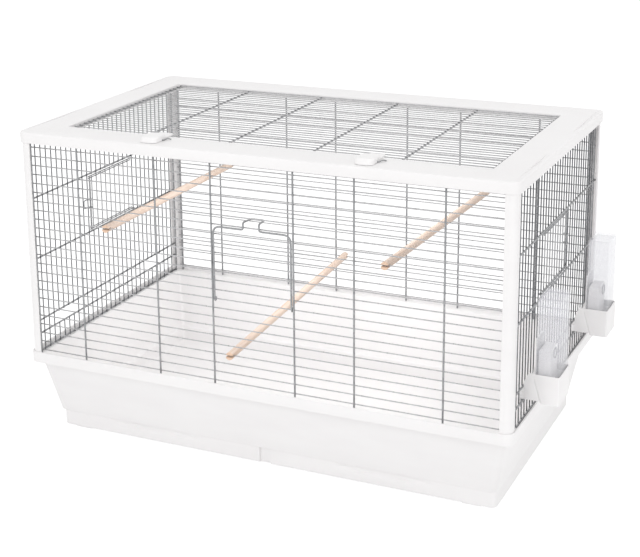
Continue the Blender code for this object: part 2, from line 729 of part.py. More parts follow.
def build_lid(group):
    """Roof lid: thin wires along the cage over thicker bars across it."""
    wires = []
    for index in range(LID_WIRES):
        y = -LID_Y + 2 * LID_Y * index / (LID_WIRES - 1)
        wires.append(((-LID_X, y, LID_REST_Z), (LID_X, y, LID_REST_Z), THIN))
    bars = []
    edge_x = LID_X - THICK
    reach = LID_Y + THIN / 2
    for x in (*(OPENING_X * share for share in LID_BAR_SHARES), edge_x):
        for sign_x in (-1, 1):
            bars.append(((sign_x * x, -reach, LID_BAR_Z), (sign_x * x, reach, LID_BAR_Z), THICK))
    lid = bars_object("roof_lid", wires, group)
    return combine(lid, [bars_object("bars", bars, group)], 'UNION', group)


def latch_outline(centre_x, inset, slope):
    """Outline of a latch at one level: inset all round, and by slope at its front."""
    half_x = LATCH_WIDTH / 2 - inset
    half_y = (LATCH_LENGTH - inset - slope) / 2
    front_y = slope - LATCH_FRONT
    return [(centre_x + x, front_y + half_y + y)
            for x, y in rounded_outline(half_x, half_y, LATCH_CORNER - inset)]


def build_lid_latch(name, sign_x, group):
    """Latch block on the frame, with a thin tongue over the lid's front edge."""
    low = HEIGHT + LATCH_RAISE
    centre = sign_x * LATCH_X
    sections = [
        (latch_outline(centre, 0, 0), low),
        (latch_outline(centre, 0, LATCH_SLOPE / 2), low + LATCH_THICK - LATCH_ROUND),
        (latch_outline(centre, LATCH_ROUND, LATCH_SLOPE), low + LATCH_THICK),
    ]
    latch = loft(sections, False, name, group)
    half = TONGUE_WIDTH / 2
    tongue = box((centre - half, -LATCH_FRONT + LATCH_LENGTH / 2, low),
                 (centre + half, -TONGUE_BACK, low + TONGUE_THICK), "tongue", group)
    return combine(latch, [tongue], 'UNION', group)


def build_perch(name, front_row, front_x, back_row, back_x, group):
    """Round wooden perch, slotted at each end for the wire it sits on."""
    front = Vector((front_x, -WALL_Y, row_height(front_row)))
    back = Vector((back_x, WALL_Y, row_height(back_row)))
    along = (back - front).normalized()
    turn = Vector((0, 0, 1)).rotation_difference(along).to_matrix().to_4x4()
    bm = bmesh.new()
    bmesh.ops.create_cone(bm, cap_ends=True, segments=PERCH_SIDES, radius1=PERCH_RADIUS,
                          radius2=PERCH_RADIUS,
                          depth=(back - front).length + 2 * PERCH_PAST,
                          matrix=Matrix.Translation((front + back) / 2) @ turn)
    perch = object_from(bm, name, group)
    slots = []
    for end, sign in ((front, -1), (back, 1)):
        inner = end.y - sign * (PERCH_SLOT_DEPTH - PERCH_PAST)
        outer = end.y + sign * CUTTER_CLEAR
        slots.append(box((end.x - CUTTER_CLEAR, min(inner, outer), end.z - PERCH_SLOT_HEIGHT / 2),
                         (end.x + CUTTER_CLEAR, max(inner, outer), end.z + PERCH_SLOT_HEIGHT / 2),
                         "slot", group))
    return combine(perch, slots, 'DIFFERENCE', group)


def build_cup(name, centre_y, group):
    """Feeder cup with its neck through the wall slot, back plate and chute."""
    half = CUP_WIDTH / 2
    low_y, high_y = centre_y - half, centre_y + half
    shell = side_prism([(CUP_INNER_TOP, CUP_TOP), (CUP_INNER_BOTTOM, CUP_BOTTOM),
                        (CUP_OUTER, CUP_BOTTOM), (CUP_OUTER, CUP_TOP)],
                       low_y, high_y, name, group)
    seat_z = HOOD_LOW - SEAT_GAP
    hollow = box((CUP_BACK, low_y + CUP_WALL, seat_z),
                 (CUP_OUTER - CUP_WALL, high_y - CUP_WALL, CUP_TOP + CUTTER_CLEAR), "hollow", group)
    well_wall = CUP_WALL + HOOD_WALL + SLIDE_GAP + WELL_STEP
    well = box((CUP_INNER_BOTTOM + CUP_WALL, low_y + well_wall, CUP_BOTTOM + CUP_WALL),
               (CUP_OUTER - well_wall, high_y - well_wall, CUP_TOP + CUTTER_CLEAR), "well", group)
    cup = combine(shell, [hollow, well], 'DIFFERENCE', group)
    half_chute = CHUTE_WIDTH / 2
    chute = box((CHUTE_INNER, centre_y - half_chute, CUP_BOTTOM + CUP_WALL / 2),
                (CHUTE_OUTER, centre_y + half_chute, CUP_TOP + CHUTE_RISE), "chute", group)
    plate = box((PLATE_INNER, centre_y - half_chute, seat_z - PLATE_ROOT),
                (PLATE_INNER + PLATE_THICK, centre_y + half_chute, CUP_TOP + PLATE_RISE),
                "plate", group)
    neck_z = SLOT_LOW + THICK + SLIDE_GAP
    neck_y = NECK_WIDTH / 2
    lip_x = SIDE_X - THIN - SLIDE_GAP
    neck = side_prism([(lip_x - NECK_WALL, neck_z - LIP_DROP), (lip_x, neck_z - LIP_DROP),
                       (lip_x, neck_z), (CUP_INNER_BOTTOM, neck_z),
                       (CUP_INNER_BOTTOM, neck_z + NECK_HEIGHT),
                       (lip_x - NECK_WALL, neck_z + NECK_HEIGHT)],
                      centre_y - neck_y, centre_y + neck_y, "neck", group)
    cheeks = []
    for sign_y in (-1, 1):
        outer = centre_y + sign_y * (half - CHEEK_INSET)
        inner = outer - sign_y * CHEEK_THICK
        cheeks.append(side_prism(cheek_outline(seat_z), min(inner, outer), max(inner, outer),
                                 "cheek", group))
    return combine(cup, [chute, plate, neck, *cheeks], 'UNION', group)


def cheek_outline(seat_z):
    """Outline in x and z of the cheek that joins the cup's ends to its back plate."""
    wall_x = ROD_X + THICK + SLIDE_GAP
    back_x = CUP_BACK - SEAT_GAP
    low = CUP_BOTTOM + CHEEK_RISE
    top = CUP_TOP - CHEEK_OVERLAP
    return [(wall_x, low + CHEEK_CUT[1]), (wall_x + CHEEK_CUT[0], low),
            (CUP_INNER_BOTTOM - CHEEK_OVERLAP, low), (back_x, seat_z - CHEEK_OVERLAP),
            (back_x, top), (wall_x + CHEEK_TOP_CUT[0], top), (wall_x, top - CHEEK_TOP_CUT[1])]


def build_hood(name, centre_y, group):
    """Clear hopper hood, open below, that slides down into the cup."""
    low_x = CUP_BACK + SLIDE_GAP
    high_x = CUP_OUTER - CUP_WALL - SLIDE_GAP
    half = CUP_WIDTH / 2 - CUP_WALL - SLIDE_GAP
    body = box((low_x, centre_y - half, HOOD_LOW), (high_x, centre_y + half, HOOD_TOP), name, group)
    inside = box((low_x + HOOD_WALL, centre_y - half + HOOD_WALL, HOOD_LOW - CUTTER_CLEAR),
                 (high_x - HOOD_WALL, centre_y + half - HOOD_WALL,
                  HOOD_TOP - HOOD_RECESS - HOOD_WALL), "inside", group)
    recess = box((low_x + 2 * HOOD_WALL, centre_y - half + 2 * HOOD_WALL, HOOD_TOP - HOOD_RECESS),
                 (high_x - 2 * HOOD_WALL, centre_y + half - 2 * HOOD_WALL, HOOD_TOP + CUTTER_CLEAR),
                 "recess", group)
    return combine(body, [inside, recess], 'DIFFERENCE', group)


def build_ring(name, centre_y, group):
    """Wire ring that stands beside the chute inside the hood."""
    centre = (CHUTE_OUTER + SLIDE_GAP + THIN + RING_SPACE, centre_y - RING_ASIDE,
              CUP_TOP + CHUTE_RISE - RING_RADIUS + RING_OVER)
    points = ring_points(centre, RING_RADIUS, (0, 1, 0), (0, 0, 1), count=RING_SIDES)
    return bent_wire(name, points, THIN, group, closed=True)


def build_fixed(group):
    """Tray, frame, posts, walls and perches."""
    finish_part(build_tray(group), "base_tray", WHITE)
    finish_part(build_frame(group), "top_frame", WHITE)
    for end, sign_y in (("front", -1), ("back", 1)):
        for hand, sign_x in (("left", -1), ("right", 1)):
            name = end + "_" + hand + "_post"
            finish_part(build_post(name, sign_x, sign_y, group), name, WHITE)
    finish_part(build_cross_wall("front_grille", -1, True, group), "front_grille", STEEL)
    finish_part(build_cross_wall("back_grille", 1, False, group), "back_grille", STEEL)
    for hand, side in (("left", -1), ("right", 1)):
        name = hand + "_grille"
        finish_part(build_side_wall(name, side, group), name, STEEL)
    for name, front_row, front_x, back_row, back_x in PERCHES:
        perch = build_perch(name, front_row, front_x, back_row, back_x, group)
        finish_part(perch, name, WOOD)


def build_moving(group):
    """Lid, latches, doors, clips and feeders, each with its origin on its axis."""
    lid = finish_part(build_lid(group), "roof_lid", STEEL, (0, LID_Y, LID_REST_Z))
    for hand, sign_x in (("left", -1), ("right", 1)):
        name = "lid_latch_" + hand
        finish_part(build_lid_latch(name, sign_x, group), name, WHITE,
                    (sign_x * LATCH_X, -TONGUE_BACK, HEIGHT), lid)
    finish_part(build_front_door(group), "front_door", STEEL, (0, -WALL_Y, HINGE_Z))
    for hand, side in (("left", -1), ("right", 1)):
        panel, hinge = build_side_door(hand + "_door", side, group)
        panel = finish_part(panel, hand + "_door", STEEL, hinge)
        clip, pivot = build_clip(hand + "_door_clip", side, group)
        finish_part(clip, hand + "_door_clip", STEEL, pivot, panel)
    for end, sign_y in (("front", -1), ("back", 1)):
        centre_y = sign_y * SLOT_CENTRE
        origin = (CUP_OUTER, centre_y, CUP_BOTTOM)
        cup = finish_part(build_cup(end + "_feeder_cup", centre_y, group),
                          end + "_feeder_cup", WHITE, origin)
        finish_part(build_hood(end + "_feeder_hood", centre_y, group),
                    end + "_feeder_hood", CLEAR, (CUP_OUTER, centre_y, CUP_TOP), cup)
        finish_part(build_ring(end + "_feeder_ring", centre_y, group),
                    end + "_feeder_ring", STEEL, origin, cup)


def centre_on_origin(group):
    """Move the cage so that the middle of its box, feeders included, is at X = 0."""
    for item in group.objects:
        if item.parent is None:
            item.location.x -= MIDDLE_X


clear_scene()
cage_group = make_collection("bird_cage")
cutter_group = make_collection("cutters")
build_fixed(cage_group)
build_moving(cage_group)
centre_on_origin(cage_group)
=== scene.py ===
"""Wire bird cage in a deep white tray: its looks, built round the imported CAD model.

The welded wire walls, lid and doors are round wires here, the plastic pieces have
rounded edges and moulded detail, and the feeders have clear hoods. All sizes are in
metres. They are measured from the cage's own middle, which the roof frame's box gives.
"""

import logging
import math
from abc import ABC, abstractmethod
from dataclasses import dataclass
from enum import Enum
from typing import Sequence

import bpy
import numpy as np
from mathutils import Matrix, Vector

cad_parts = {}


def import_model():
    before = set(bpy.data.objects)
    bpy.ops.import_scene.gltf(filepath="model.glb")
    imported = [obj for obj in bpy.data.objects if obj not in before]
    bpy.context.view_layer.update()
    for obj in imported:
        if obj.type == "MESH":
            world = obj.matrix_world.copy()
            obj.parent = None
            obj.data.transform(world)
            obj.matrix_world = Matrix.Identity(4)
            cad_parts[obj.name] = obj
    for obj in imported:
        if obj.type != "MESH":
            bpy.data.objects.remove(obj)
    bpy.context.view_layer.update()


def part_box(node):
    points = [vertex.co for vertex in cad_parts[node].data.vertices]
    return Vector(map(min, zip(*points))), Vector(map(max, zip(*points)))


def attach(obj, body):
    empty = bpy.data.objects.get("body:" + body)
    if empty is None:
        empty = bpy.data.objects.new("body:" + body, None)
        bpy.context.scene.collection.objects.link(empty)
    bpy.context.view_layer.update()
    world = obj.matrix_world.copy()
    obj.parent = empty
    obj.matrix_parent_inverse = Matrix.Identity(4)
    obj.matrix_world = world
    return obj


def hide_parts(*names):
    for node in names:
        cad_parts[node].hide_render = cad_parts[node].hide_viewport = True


LOG = logging.getLogger("bird_cage")
LEFT_AND_RIGHT = (("left", -1), ("right", 1))
FRONT_AND_BACK = (("front", -1), ("back", 1))
# Limits below which lengths, points and levels count as nothing or as the same
NO_LENGTH = 1e-9
SAME_POINT = 1e-7
SAME_LEVEL = 1e-5
# How far a rounding may reach along a run, and the least divisor at a sharp corner
LONGEST_SHARE = 0.45
SHARPEST_CORNER = 0.3
# Steepness from which a wire counts as upright
NEARLY_UPRIGHT = 0.9
# Runs in a wire's bend and points in an eased end
BEND_STEPS = 6
EASE_POINTS = 4
# A wire's end against its radius: how small it gets, and over what length
WIRE_END_SIZE = 0.65
WIRE_END_EASE = 0.4
# Weight of each number of a loft row; an inset moves four sides, so each counts half
SECTION_WEIGHTS = (0.5, 0.5, 0.5, 0.5, 0.0, 1.0)
# Sockets of the colour mix node, whose names aren't unique
MIX_SHARE, MIX_FIRST, MIX_SECOND, MIX_COLOUR = 0, 6, 7, 2


# Surfaces


class Axis(Enum):
    """Direction that a flat outline is carried along."""

    X = 0
    Y = 1
    Z = 2


@dataclass
class Surface:
    """Points of a surface with its faces, kept as whole arrays.

    Attributes:
        points: Array of shape (n, 3).
        faces: Arrays of point numbers, one row to a face.
    """

    points: np.ndarray
    faces: list[np.ndarray]

    def outward(self) -> "Surface":
        """Turn the faces so that the enclosed volume is positive.

        The volume is the sum over triangles of the triple product of the corners,
        divided by six, and it is negative for faces that point inwards.
        """
        volume = 0.0
        for group in self.faces:
            first = self.points[group[:, 0]]
            for step in range(1, group.shape[1] - 1):
                second = self.points[group[:, step]]
                third = self.points[group[:, step + 1]]
                volume += float(np.einsum("ij,ij->", first, np.cross(second, third)))
        if volume < 0:
            self.faces = [group[:, ::-1] for group in self.faces]
        return self


def joined(surfaces: Sequence[Surface]) -> Surface:
    """Put several surfaces in one, each with its own points."""
    starts = np.cumsum([0] + [len(part.points) for part in surfaces[:-1]])
    faces = [group + start for part, start in zip(surfaces, starts) for group in part.faces]
    return Surface(np.concatenate([part.points for part in surfaces]), faces)


def grid_surface(grid: np.ndarray, wrap_rows: bool, cap_ends: bool) -> Surface:
    """Faces over a grid of points whose columns close on themselves.

    Args:
        grid: Points of shape (rows, columns, 3).
        wrap_rows: Whether the last row joins the first one.
        cap_ends: Whether the first and last rows are filled with one face each.

    Returns:
        The surface with its faces pointing outwards.
    """
    rows, columns = grid.shape[:2]
    number = np.arange(rows * columns).reshape(rows, columns)
    lower = number if wrap_rows else number[:-1]
    upper = np.roll(number, -1, axis=0) if wrap_rows else number[1:]
    quads = np.stack([lower, np.roll(lower, -1, axis=1), np.roll(upper, -1, axis=1), upper], axis=-1)
    faces = [quads.reshape(-1, 4)]
    if cap_ends:
        faces += [number[:1, ::-1], number[-1:]]
    return Surface(grid.reshape(-1, 3), faces).outward()


def rounded_path(points: Sequence[Sequence[float]], reach: float | Sequence[float], steps: int = 4,
                 closed: bool = False, weights: Sequence[float] | None = None) -> np.ndarray:
    """Round the corners of a path with parabolas.

    A corner p between a and c, which lie its reach away along the two runs, becomes
    (1 - t)^2 a + 2 t (1 - t) p + t^2 c for t from 0 to 1.

    Args:
        points: Corners of the path, in any number of dimensions.
        reach: How far from each corner the rounding starts, at most 45% of a run.
        steps: Number of runs that each rounding is cut into.
        closed: Whether the last corner joins the first one.
        weights: Weight of each dimension when lengths are measured.

    Returns:
        The points of the rounded path without doubles.
    """
    corners = np.asarray(points, float)
    scale = np.ones(corners.shape[1]) if weights is None else np.asarray(weights, float)
    reaches = np.broadcast_to(np.asarray(reach, float), len(corners)).copy()
    back = np.roll(corners, 1, axis=0) - corners
    ahead = np.roll(corners, -1, axis=0) - corners
    if not closed:
        reaches[0] = reaches[-1] = 0.0
    back_length = np.linalg.norm(back * scale, axis=1)
    ahead_length = np.linalg.norm(ahead * scale, axis=1)
    share_back = np.minimum(reaches / np.maximum(back_length, NO_LENGTH), LONGEST_SHARE)
    share_ahead = np.minimum(reaches / np.maximum(ahead_length, NO_LENGTH), LONGEST_SHARE)
    start = (corners + back * share_back[:, None])[:, None]
    end = (corners + ahead * share_ahead[:, None])[:, None]
    t = np.linspace(0.0, 1.0, steps + 1)[None, :, None]
    path = ((1 - t) ** 2 * start + 2 * t * (1 - t) * corners[:, None] + t ** 2 * end)
    path = path.reshape(-1, corners.shape[1])
    keep = np.ones(len(path), bool)
    keep[1:] = np.abs(np.diff(path, axis=0)).max(axis=1) > SAME_POINT
    if closed and np.abs(path[0] - path[-1]).max() < SAME_POINT:
        keep[-1] = False
    return path[keep]


def rectangle_plan(along_x: Sequence[float], along_y: Sequence[float], steps: int) -> np.ndarray:
    """Where the points of a rounded rectangle lie, as shares of its sides.

    A point is at share times (half size - radius) plus out times radius. On a side the
    share runs from 1 to -1 or back, and round a corner out is (cos a, sin a).

    Args:
        along_x: Extra points on the sides along X, as shares between -1 and 1.
        along_y: Extra points on the sides along Y.
        steps: Number of runs round each corner.

    Returns:
        Array of shape (n, 4) with share_x, share_y, out_x and out_y.
    """
    x_run = np.sort(np.asarray(along_x, float))
    y_run = np.sort(np.asarray(along_y, float))
    angle = np.linspace(0.0, math.pi / 2, steps + 1)
    parts = []
    sides = ((1, 1, x_run[::-1], 0), (-1, 1, y_run[::-1], 1), (-1, -1, x_run, 0), (1, -1, y_run, 1))
    for quarter, (sign_x, sign_y, run, along) in enumerate(sides):
        turned = angle + quarter * math.pi / 2
        parts.append(np.stack([np.full(steps + 1, sign_x), np.full(steps + 1, sign_y),
                               np.cos(turned), np.sin(turned)], axis=1))
        side = np.zeros((len(run), 4))
        middle = (quarter + 1) * math.pi / 2
        side[:, along] = run
        side[:, 1 - along] = round(math.sin(middle)) if along == 0 else round(math.cos(middle))
        side[:, 2:] = (round(math.cos(middle)), round(math.sin(middle)))
        parts.append(side)
    return np.concatenate(parts)


def loft(rows: Sequence[Sequence[float]], rounding: float | Sequence[float], wrap: bool = False,
         along_x: Sequence[float] = (), along_y: Sequence[float] = (), corner_steps: int = 6,
         edge_steps: int = 3) -> Surface:
    """Surface through level rounded rectangles, with its edges rounded too.

    Args:
        rows: Rows of (x low, x high, y low, y high, corner radius, z).
        rounding: Reach of the rounding at each row, seen in section.
        wrap: Whether the section closes on itself; otherwise the ends are filled.
        along_x: Extra points on the sides along X, as shares.
        along_y: Extra points on the sides along Y, as shares.
        corner_steps: Number of runs round each corner of a rectangle.
        edge_steps: Number of runs that each edge in section is rounded with.

    Returns:
        The closed surface.
    """
    section = rounded_path(rows, rounding, edge_steps, wrap, SECTION_WEIGHTS)
    plan = rectangle_plan(along_x, along_y, corner_steps)
    low = section[:, [0, 2]][:, None]
    high = section[:, [1, 3]][:, None]
    radius = section[:, 4][:, None, None]
    level = (low + high) / 2 + plan[None, :, :2] * ((high - low) / 2 - radius) + plan[None, :, 2:] * radius
    height = np.broadcast_to(section[:, 5][:, None, None], level.shape[:2] + (1,))
    return grid_surface(np.concatenate([level, height], axis=2), wrap, not wrap)


def centred(half: Sequence[float]) -> tuple[float, float, float, float]:
    """Plan (x low, x high, y low, y high) of a rectangle round the cage's middle."""
    return -half[0], half[0], -half[1], half[1]


def level_row(plan: Sequence[float], inset: float, radius: float, z: float) -> tuple[float, ...]:
    """Row for loft() of a plan that is smaller by an inset on all four sides."""
    return plan[0] + inset, plan[1] - inset, plan[2] + inset, plan[3] - inset, radius, z


def inset_outline(outline: np.ndarray, distance: float) -> np.ndarray:
    """Move a closed outline inwards by a distance.

    Each corner moves by (n1 + n2) / (1 + n1 . n2) times the distance, where n1 and n2
    are the inward normals of the two sides that meet there.
    """
    after = np.roll(outline, -1, axis=0)
    run = (after - outline) / np.linalg.norm(after - outline, axis=1)[:, None]
    area = np.sum(outline[:, 0] * after[:, 1] - after[:, 0] * outline[:, 1])
    normal = np.stack([-run[:, 1], run[:, 0]], axis=1) * (1 if area > 0 else -1)
    before = np.roll(normal, 1, axis=0)
    share = 1.0 + np.sum(normal * before, axis=1)
    return outline + (normal + before) / np.maximum(share, SHARPEST_CORNER)[:, None] * distance


def prism(outline: Sequence[Sequence[float]], low: float, high: float, axis: Axis,
          edge: float = 0.0004) -> Surface:
    """Solid with a flat outline carried along an axis, its two ends eased.

    Near an end the outline is inset by edge * (1 - sin a) while it moves in by
    edge * (1 - cos a), a quarter circle.

    Args:
        outline: Corners in the plane of the two other axes, in the order X, Y, Z.
        low: Where the solid starts on the axis.
        high: Where it ends.
        axis: The axis.
        edge: Radius of the eased ends.

    Returns:
        The closed surface.
    """
    flat = np.asarray(outline, float)
    angles = np.linspace(0.0, math.pi / 2, EASE_POINTS)
    insets = edge * (1 - np.sin(angles))
    places = edge * (1 - np.cos(angles))
    insets = np.concatenate([insets, insets[::-1]])
    places = np.concatenate([low + places, high - places[::-1]])
    grid = np.empty((len(places), len(flat), 3))
    others = [index for index in range(3) if index != axis.value]
    grid[:, :, others] = np.stack([inset_outline(flat, inset) for inset in insets])
    grid[:, :, axis.value] = places[:, None]
    return grid_surface(grid, False, True)


def arc(centre: Sequence[float], radii: Sequence[float], start: float, end: float,
        steps: int) -> np.ndarray:
    """Points of part of an ellipse: centre plus (a cos t, b sin t), in degrees."""
    angle = np.radians(np.linspace(start, end, steps + 1))
    return np.stack([centre[0] + radii[0] * np.cos(angle), centre[1] + radii[1] * np.sin(angle)], axis=1)


def straight_wires(starts: Sequence[Sequence[float]], ends: Sequence[Sequence[float]],
                   radius: float, sides: int = 10) -> Surface:
    """Many straight round wires at once, each with eased ends.

    A ring is the wire's middle plus r (side cos a + third sin a), where side and third
    are at right angles to the wire. Four rings make a wire, and one face fills an end.

    Args:
        starts: First ends, shape (n, 3).
        ends: Last ends.
        radius: Radius of all the wires.
        sides: Number of faces round a wire.

    Returns:
        All the wires in one surface.
    """
    first = np.asarray(starts, float)
    run = np.asarray(ends, float) - first
    length = np.linalg.norm(run, axis=1, keepdims=True)
    along = run / length
    upright = np.abs(along[:, 2:]) > NEARLY_UPRIGHT
    help_axis = np.where(upright, (1.0, 0.0, 0.0), (0.0, 0.0, 1.0))
    side = np.cross(along, help_axis)
    side /= np.linalg.norm(side, axis=1, keepdims=True)
    third = np.cross(along, side)
    ease = WIRE_END_EASE * radius
    place = np.concatenate([np.zeros_like(length), np.full_like(length, ease), length - ease, length], axis=1)
    size = radius * np.array([WIRE_END_SIZE, 1.0, 1.0, WIRE_END_SIZE])
    angle = 2 * math.pi * np.arange(sides) / sides
    ring = (side[:, None] * np.cos(angle)[None, :, None] + third[:, None] * np.sin(angle)[None, :, None])
    points = (first[:, None, None] + along[:, None, None] * place[:, :, None, None]
              + ring[:, None] * size[None, :, None, None])
    number = np.arange(points.size // 3).reshape(len(first), 4, sides)
    lower, upper = number[:, :-1], number[:, 1:]
    quads = np.stack([lower, np.roll(lower, -1, axis=2), np.roll(upper, -1, axis=2), upper], axis=-1)
    faces = [quads.reshape(-1, 4), number[:, 0, ::-1], number[:, -1]]
    return Surface(points.reshape(-1, 3), faces).outward()


def tube(path: np.ndarray, radius: float, sides: int = 12, closed: bool = False) -> Surface:
    """Round wire along a path, without twist.

    A ring is the path's point plus r (side cos a + third sin a). The side direction is
    carried from ring to ring by taking out its part along the new run.

    Args:
        path: Points of the wire's middle, shape (n, 3).
        radius: Radius of the wire.
        sides: Number of faces round the wire.
        closed: Whether the wire's ends meet.

    Returns:
        The closed surface.
    """
    middle = np.asarray(path, float)
    size = np.full(len(middle), radius)
    if closed:
        run = np.roll(middle, -1, axis=0) - np.roll(middle, 1, axis=0)
    else:
        head = middle[1] - middle[0]
        tail = middle[-1] - middle[-2]
        head = middle[0] + head / np.linalg.norm(head) * WIRE_END_EASE * radius
        tail = middle[-1] - tail / np.linalg.norm(tail) * WIRE_END_EASE * radius
        middle = np.concatenate([middle[:1], head[None], middle[1:-1], tail[None], middle[-1:]])
        end_size = [WIRE_END_SIZE * radius]
        size = np.concatenate([end_size, np.full(len(middle) - 2, radius), end_size])
        run = np.gradient(middle, axis=0)
    run /= np.linalg.norm(run, axis=1, keepdims=True)
    if closed:
        centred = middle - middle.mean(axis=0)
        side = np.cross(centred, np.roll(centred, -1, axis=0)).sum(axis=0)
    else:
        side = np.cross(run[0], np.eye(3)[np.argmin(np.abs(run[0]))])
    sides_along = np.empty_like(middle)
    for index, direction in enumerate(run):
        side = side - direction * np.dot(side, direction)
        side = side / np.linalg.norm(side)
        sides_along[index] = side
    third = np.cross(run, sides_along)
    angle = 2 * math.pi * np.arange(sides) / sides
    ring = (sides_along[:, None] * np.cos(angle)[None, :, None]
            + third[:, None] * np.sin(angle)[None, :, None])
    return grid_surface(middle[:, None] + ring * size[:, None, None], closed, not closed)


def ring_path(centre: Sequence[float], radius: float, first: Sequence[float],
              second: Sequence[float], count: int = 20) -> np.ndarray:
    """Points of a circle: centre plus r (first cos a + second sin a)."""
    angle = 2 * math.pi * np.arange(count)[:, None] / count
    return (np.asarray(centre, float) + radius * (np.cos(angle) * np.asarray(first, float)
                                                  + np.sin(angle) * np.asarray(second, float)))


# Finishes


class Shading:
    """Adds and joins the nodes of one material."""

    def __init__(self, name: str) -> None:
        """Start a material with a Principled shader.

        Args:
            name: Name of the material.
        """
        self.material = bpy.data.materials.new(name)
        self.material.use_nodes = True
        self.tree = self.material.node_tree
        self.shader = self.tree.nodes["Principled BSDF"]
        self.place = self.tree.nodes.new("ShaderNodeTexCoord").outputs["Object"]

    def join(self, source: bpy.types.NodeSocket, target: bpy.types.NodeSocket) -> None:
        """Link one socket to another."""
        self.tree.links.new(source, target)

    def stretched(self, scale: Sequence[float]) -> bpy.types.NodeSocket:
        """Object coordinates times a scale for each axis."""
        mapping = self.tree.nodes.new("ShaderNodeMapping")
        mapping.inputs["Scale"].default_value = scale
        self.join(self.place, mapping.inputs["Vector"])
        return mapping.outputs["Vector"]

    def noise(self, scale: float, detail: float = 2.0,
              place: bpy.types.NodeSocket | None = None) -> bpy.types.NodeSocket:
        """Smooth noise between 0 and 1.

        Args:
            scale: Waves in a metre.
            detail: Number of finer layers.
            place: Coordinates to read, or None for the plain object coordinates.

        Returns:
            The noise's socket.
        """
        node = self.tree.nodes.new("ShaderNodeTexNoise")
        node.inputs["Scale"].default_value = scale
        node.inputs["Detail"].default_value = detail
        self.join(self.place if place is None else place, node.inputs["Vector"])
        return node.outputs["Fac"]

    def ramp(self, value: bpy.types.NodeSocket,
             stops: Sequence[tuple[float, Sequence[float]]]) -> bpy.types.NodeSocket:
        """Colour that follows a value through stops of (place, colour)."""
        node = self.tree.nodes.new("ShaderNodeValToRGB")
        stops_made = node.color_ramp.elements
        while len(stops_made) < len(stops):
            stops_made.new(0.5)
        for made, (place, colour) in zip(stops_made, stops):
            made.position = place
            made.color = (*colour, 1.0)
        self.join(value, node.inputs["Fac"])
        return node.outputs["Color"]

    def away(self, axis: int) -> bpy.types.NodeSocket:
        """How far a point lies from the middle along one axis."""
        parts = self.tree.nodes.new("ShaderNodeSeparateXYZ")
        self.join(self.place, parts.inputs["Vector"])
        size = self.tree.nodes.new("ShaderNodeMath")
        size.operation = "ABSOLUTE"
        self.join(parts.outputs[axis], size.inputs[0])
        return size.outputs[0]

    def blend(self, first: bpy.types.NodeSocket, second: Sequence[float],
              share: bpy.types.NodeSocket) -> bpy.types.NodeSocket:
        """One colour going over to another by a share between 0 and 1."""
        node = self.tree.nodes.new("ShaderNodeMix")
        node.data_type = "RGBA"
        self.join(share, node.inputs[MIX_SHARE])
        self.join(first, node.inputs[MIX_FIRST])
        node.inputs[MIX_SECOND].default_value = (*second, 1.0)
        return node.outputs[MIX_COLOUR]

    def span(self, value: bpy.types.NodeSocket, low: float, high: float,
             from_low: float = 0.3, from_high: float = 0.7) -> bpy.types.NodeSocket:
        """A value brought from one span to another, held at its ends."""
        node = self.tree.nodes.new("ShaderNodeMapRange")
        node.inputs["From Min"].default_value = from_low
        node.inputs["From Max"].default_value = from_high
        node.inputs["To Min"].default_value = low
        node.inputs["To Max"].default_value = high
        self.join(value, node.inputs["Value"])
        return node.outputs["Result"]

    def bump(self, height: bpy.types.NodeSocket, strength: float, distance: float) -> None:
        """Let a height disturb the shader's normal."""
        node = self.tree.nodes.new("ShaderNodeBump")
        node.inputs["Strength"].default_value = strength
        node.inputs["Distance"].default_value = distance
        self.join(height, node.inputs["Height"])
        self.join(node.outputs["Normal"], self.shader.inputs["Normal"])

    def set(self, **sockets: float) -> None:
        """Set plain numbers on the shader's own sockets, spaces written as _."""
        for name, value in sockets.items():
            self.shader.inputs[name.replace("_", " ")].default_value = value


@dataclass(frozen=True)
class MouldedPlastic:
    """White moulded plastic: a faint mottle, a fine grain and soft flow marks."""

    name: str = "white_moulded_plastic"
    colour: tuple[float, float, float] = (0.905, 0.893, 0.893)
    shade: tuple[float, float, float] = (0.885, 0.870, 0.872)
    slot: str = "white_plastic"

    def material(self) -> bpy.types.Material:
        """Build the material."""
        made = Shading(self.name)
        flow = made.noise(scale=9.0, detail=3.0, place=made.stretched((1.0, 1.0, 3.5)))
        colour = made.ramp(flow, ((0.30, self.shade), (0.62, self.colour)))
        gloss = made.span(made.noise(scale=160.0, detail=3.0), low=0.34, high=0.46)
        made.join(colour, made.shader.inputs["Base Color"])
        made.join(gloss, made.shader.inputs["Roughness"])
        made.bump(made.noise(scale=1400.0), strength=0.05, distance=0.0002)
        made.set(IOR=1.46)
        return made.material


@dataclass(frozen=True)
class ClearPlastic:
    """Milky clear plastic of the feeder hoods."""

    name: str = "milky_clear_plastic"
    colour: tuple[float, float, float] = (0.95, 0.95, 0.98)
    haze: tuple[float, float, float] = (0.90, 0.90, 0.95)
    slot: str = "clear_plastic"

    def material(self) -> bpy.types.Material:
        """Build the material."""
        made = Shading(self.name)
        cloud = made.noise(scale=40.0, detail=3.0)
        colour = made.ramp(cloud, ((0.3, self.haze), (0.7, self.colour)))
        gloss = made.span(made.noise(scale=220.0), low=0.06, high=0.13)
        made.join(colour, made.shader.inputs["Base Color"])
        made.join(gloss, made.shader.inputs["Roughness"])
        made.bump(made.noise(scale=260.0), strength=0.05, distance=0.0002)
        made.set(IOR=1.45, Alpha=0.24)
        return made.material


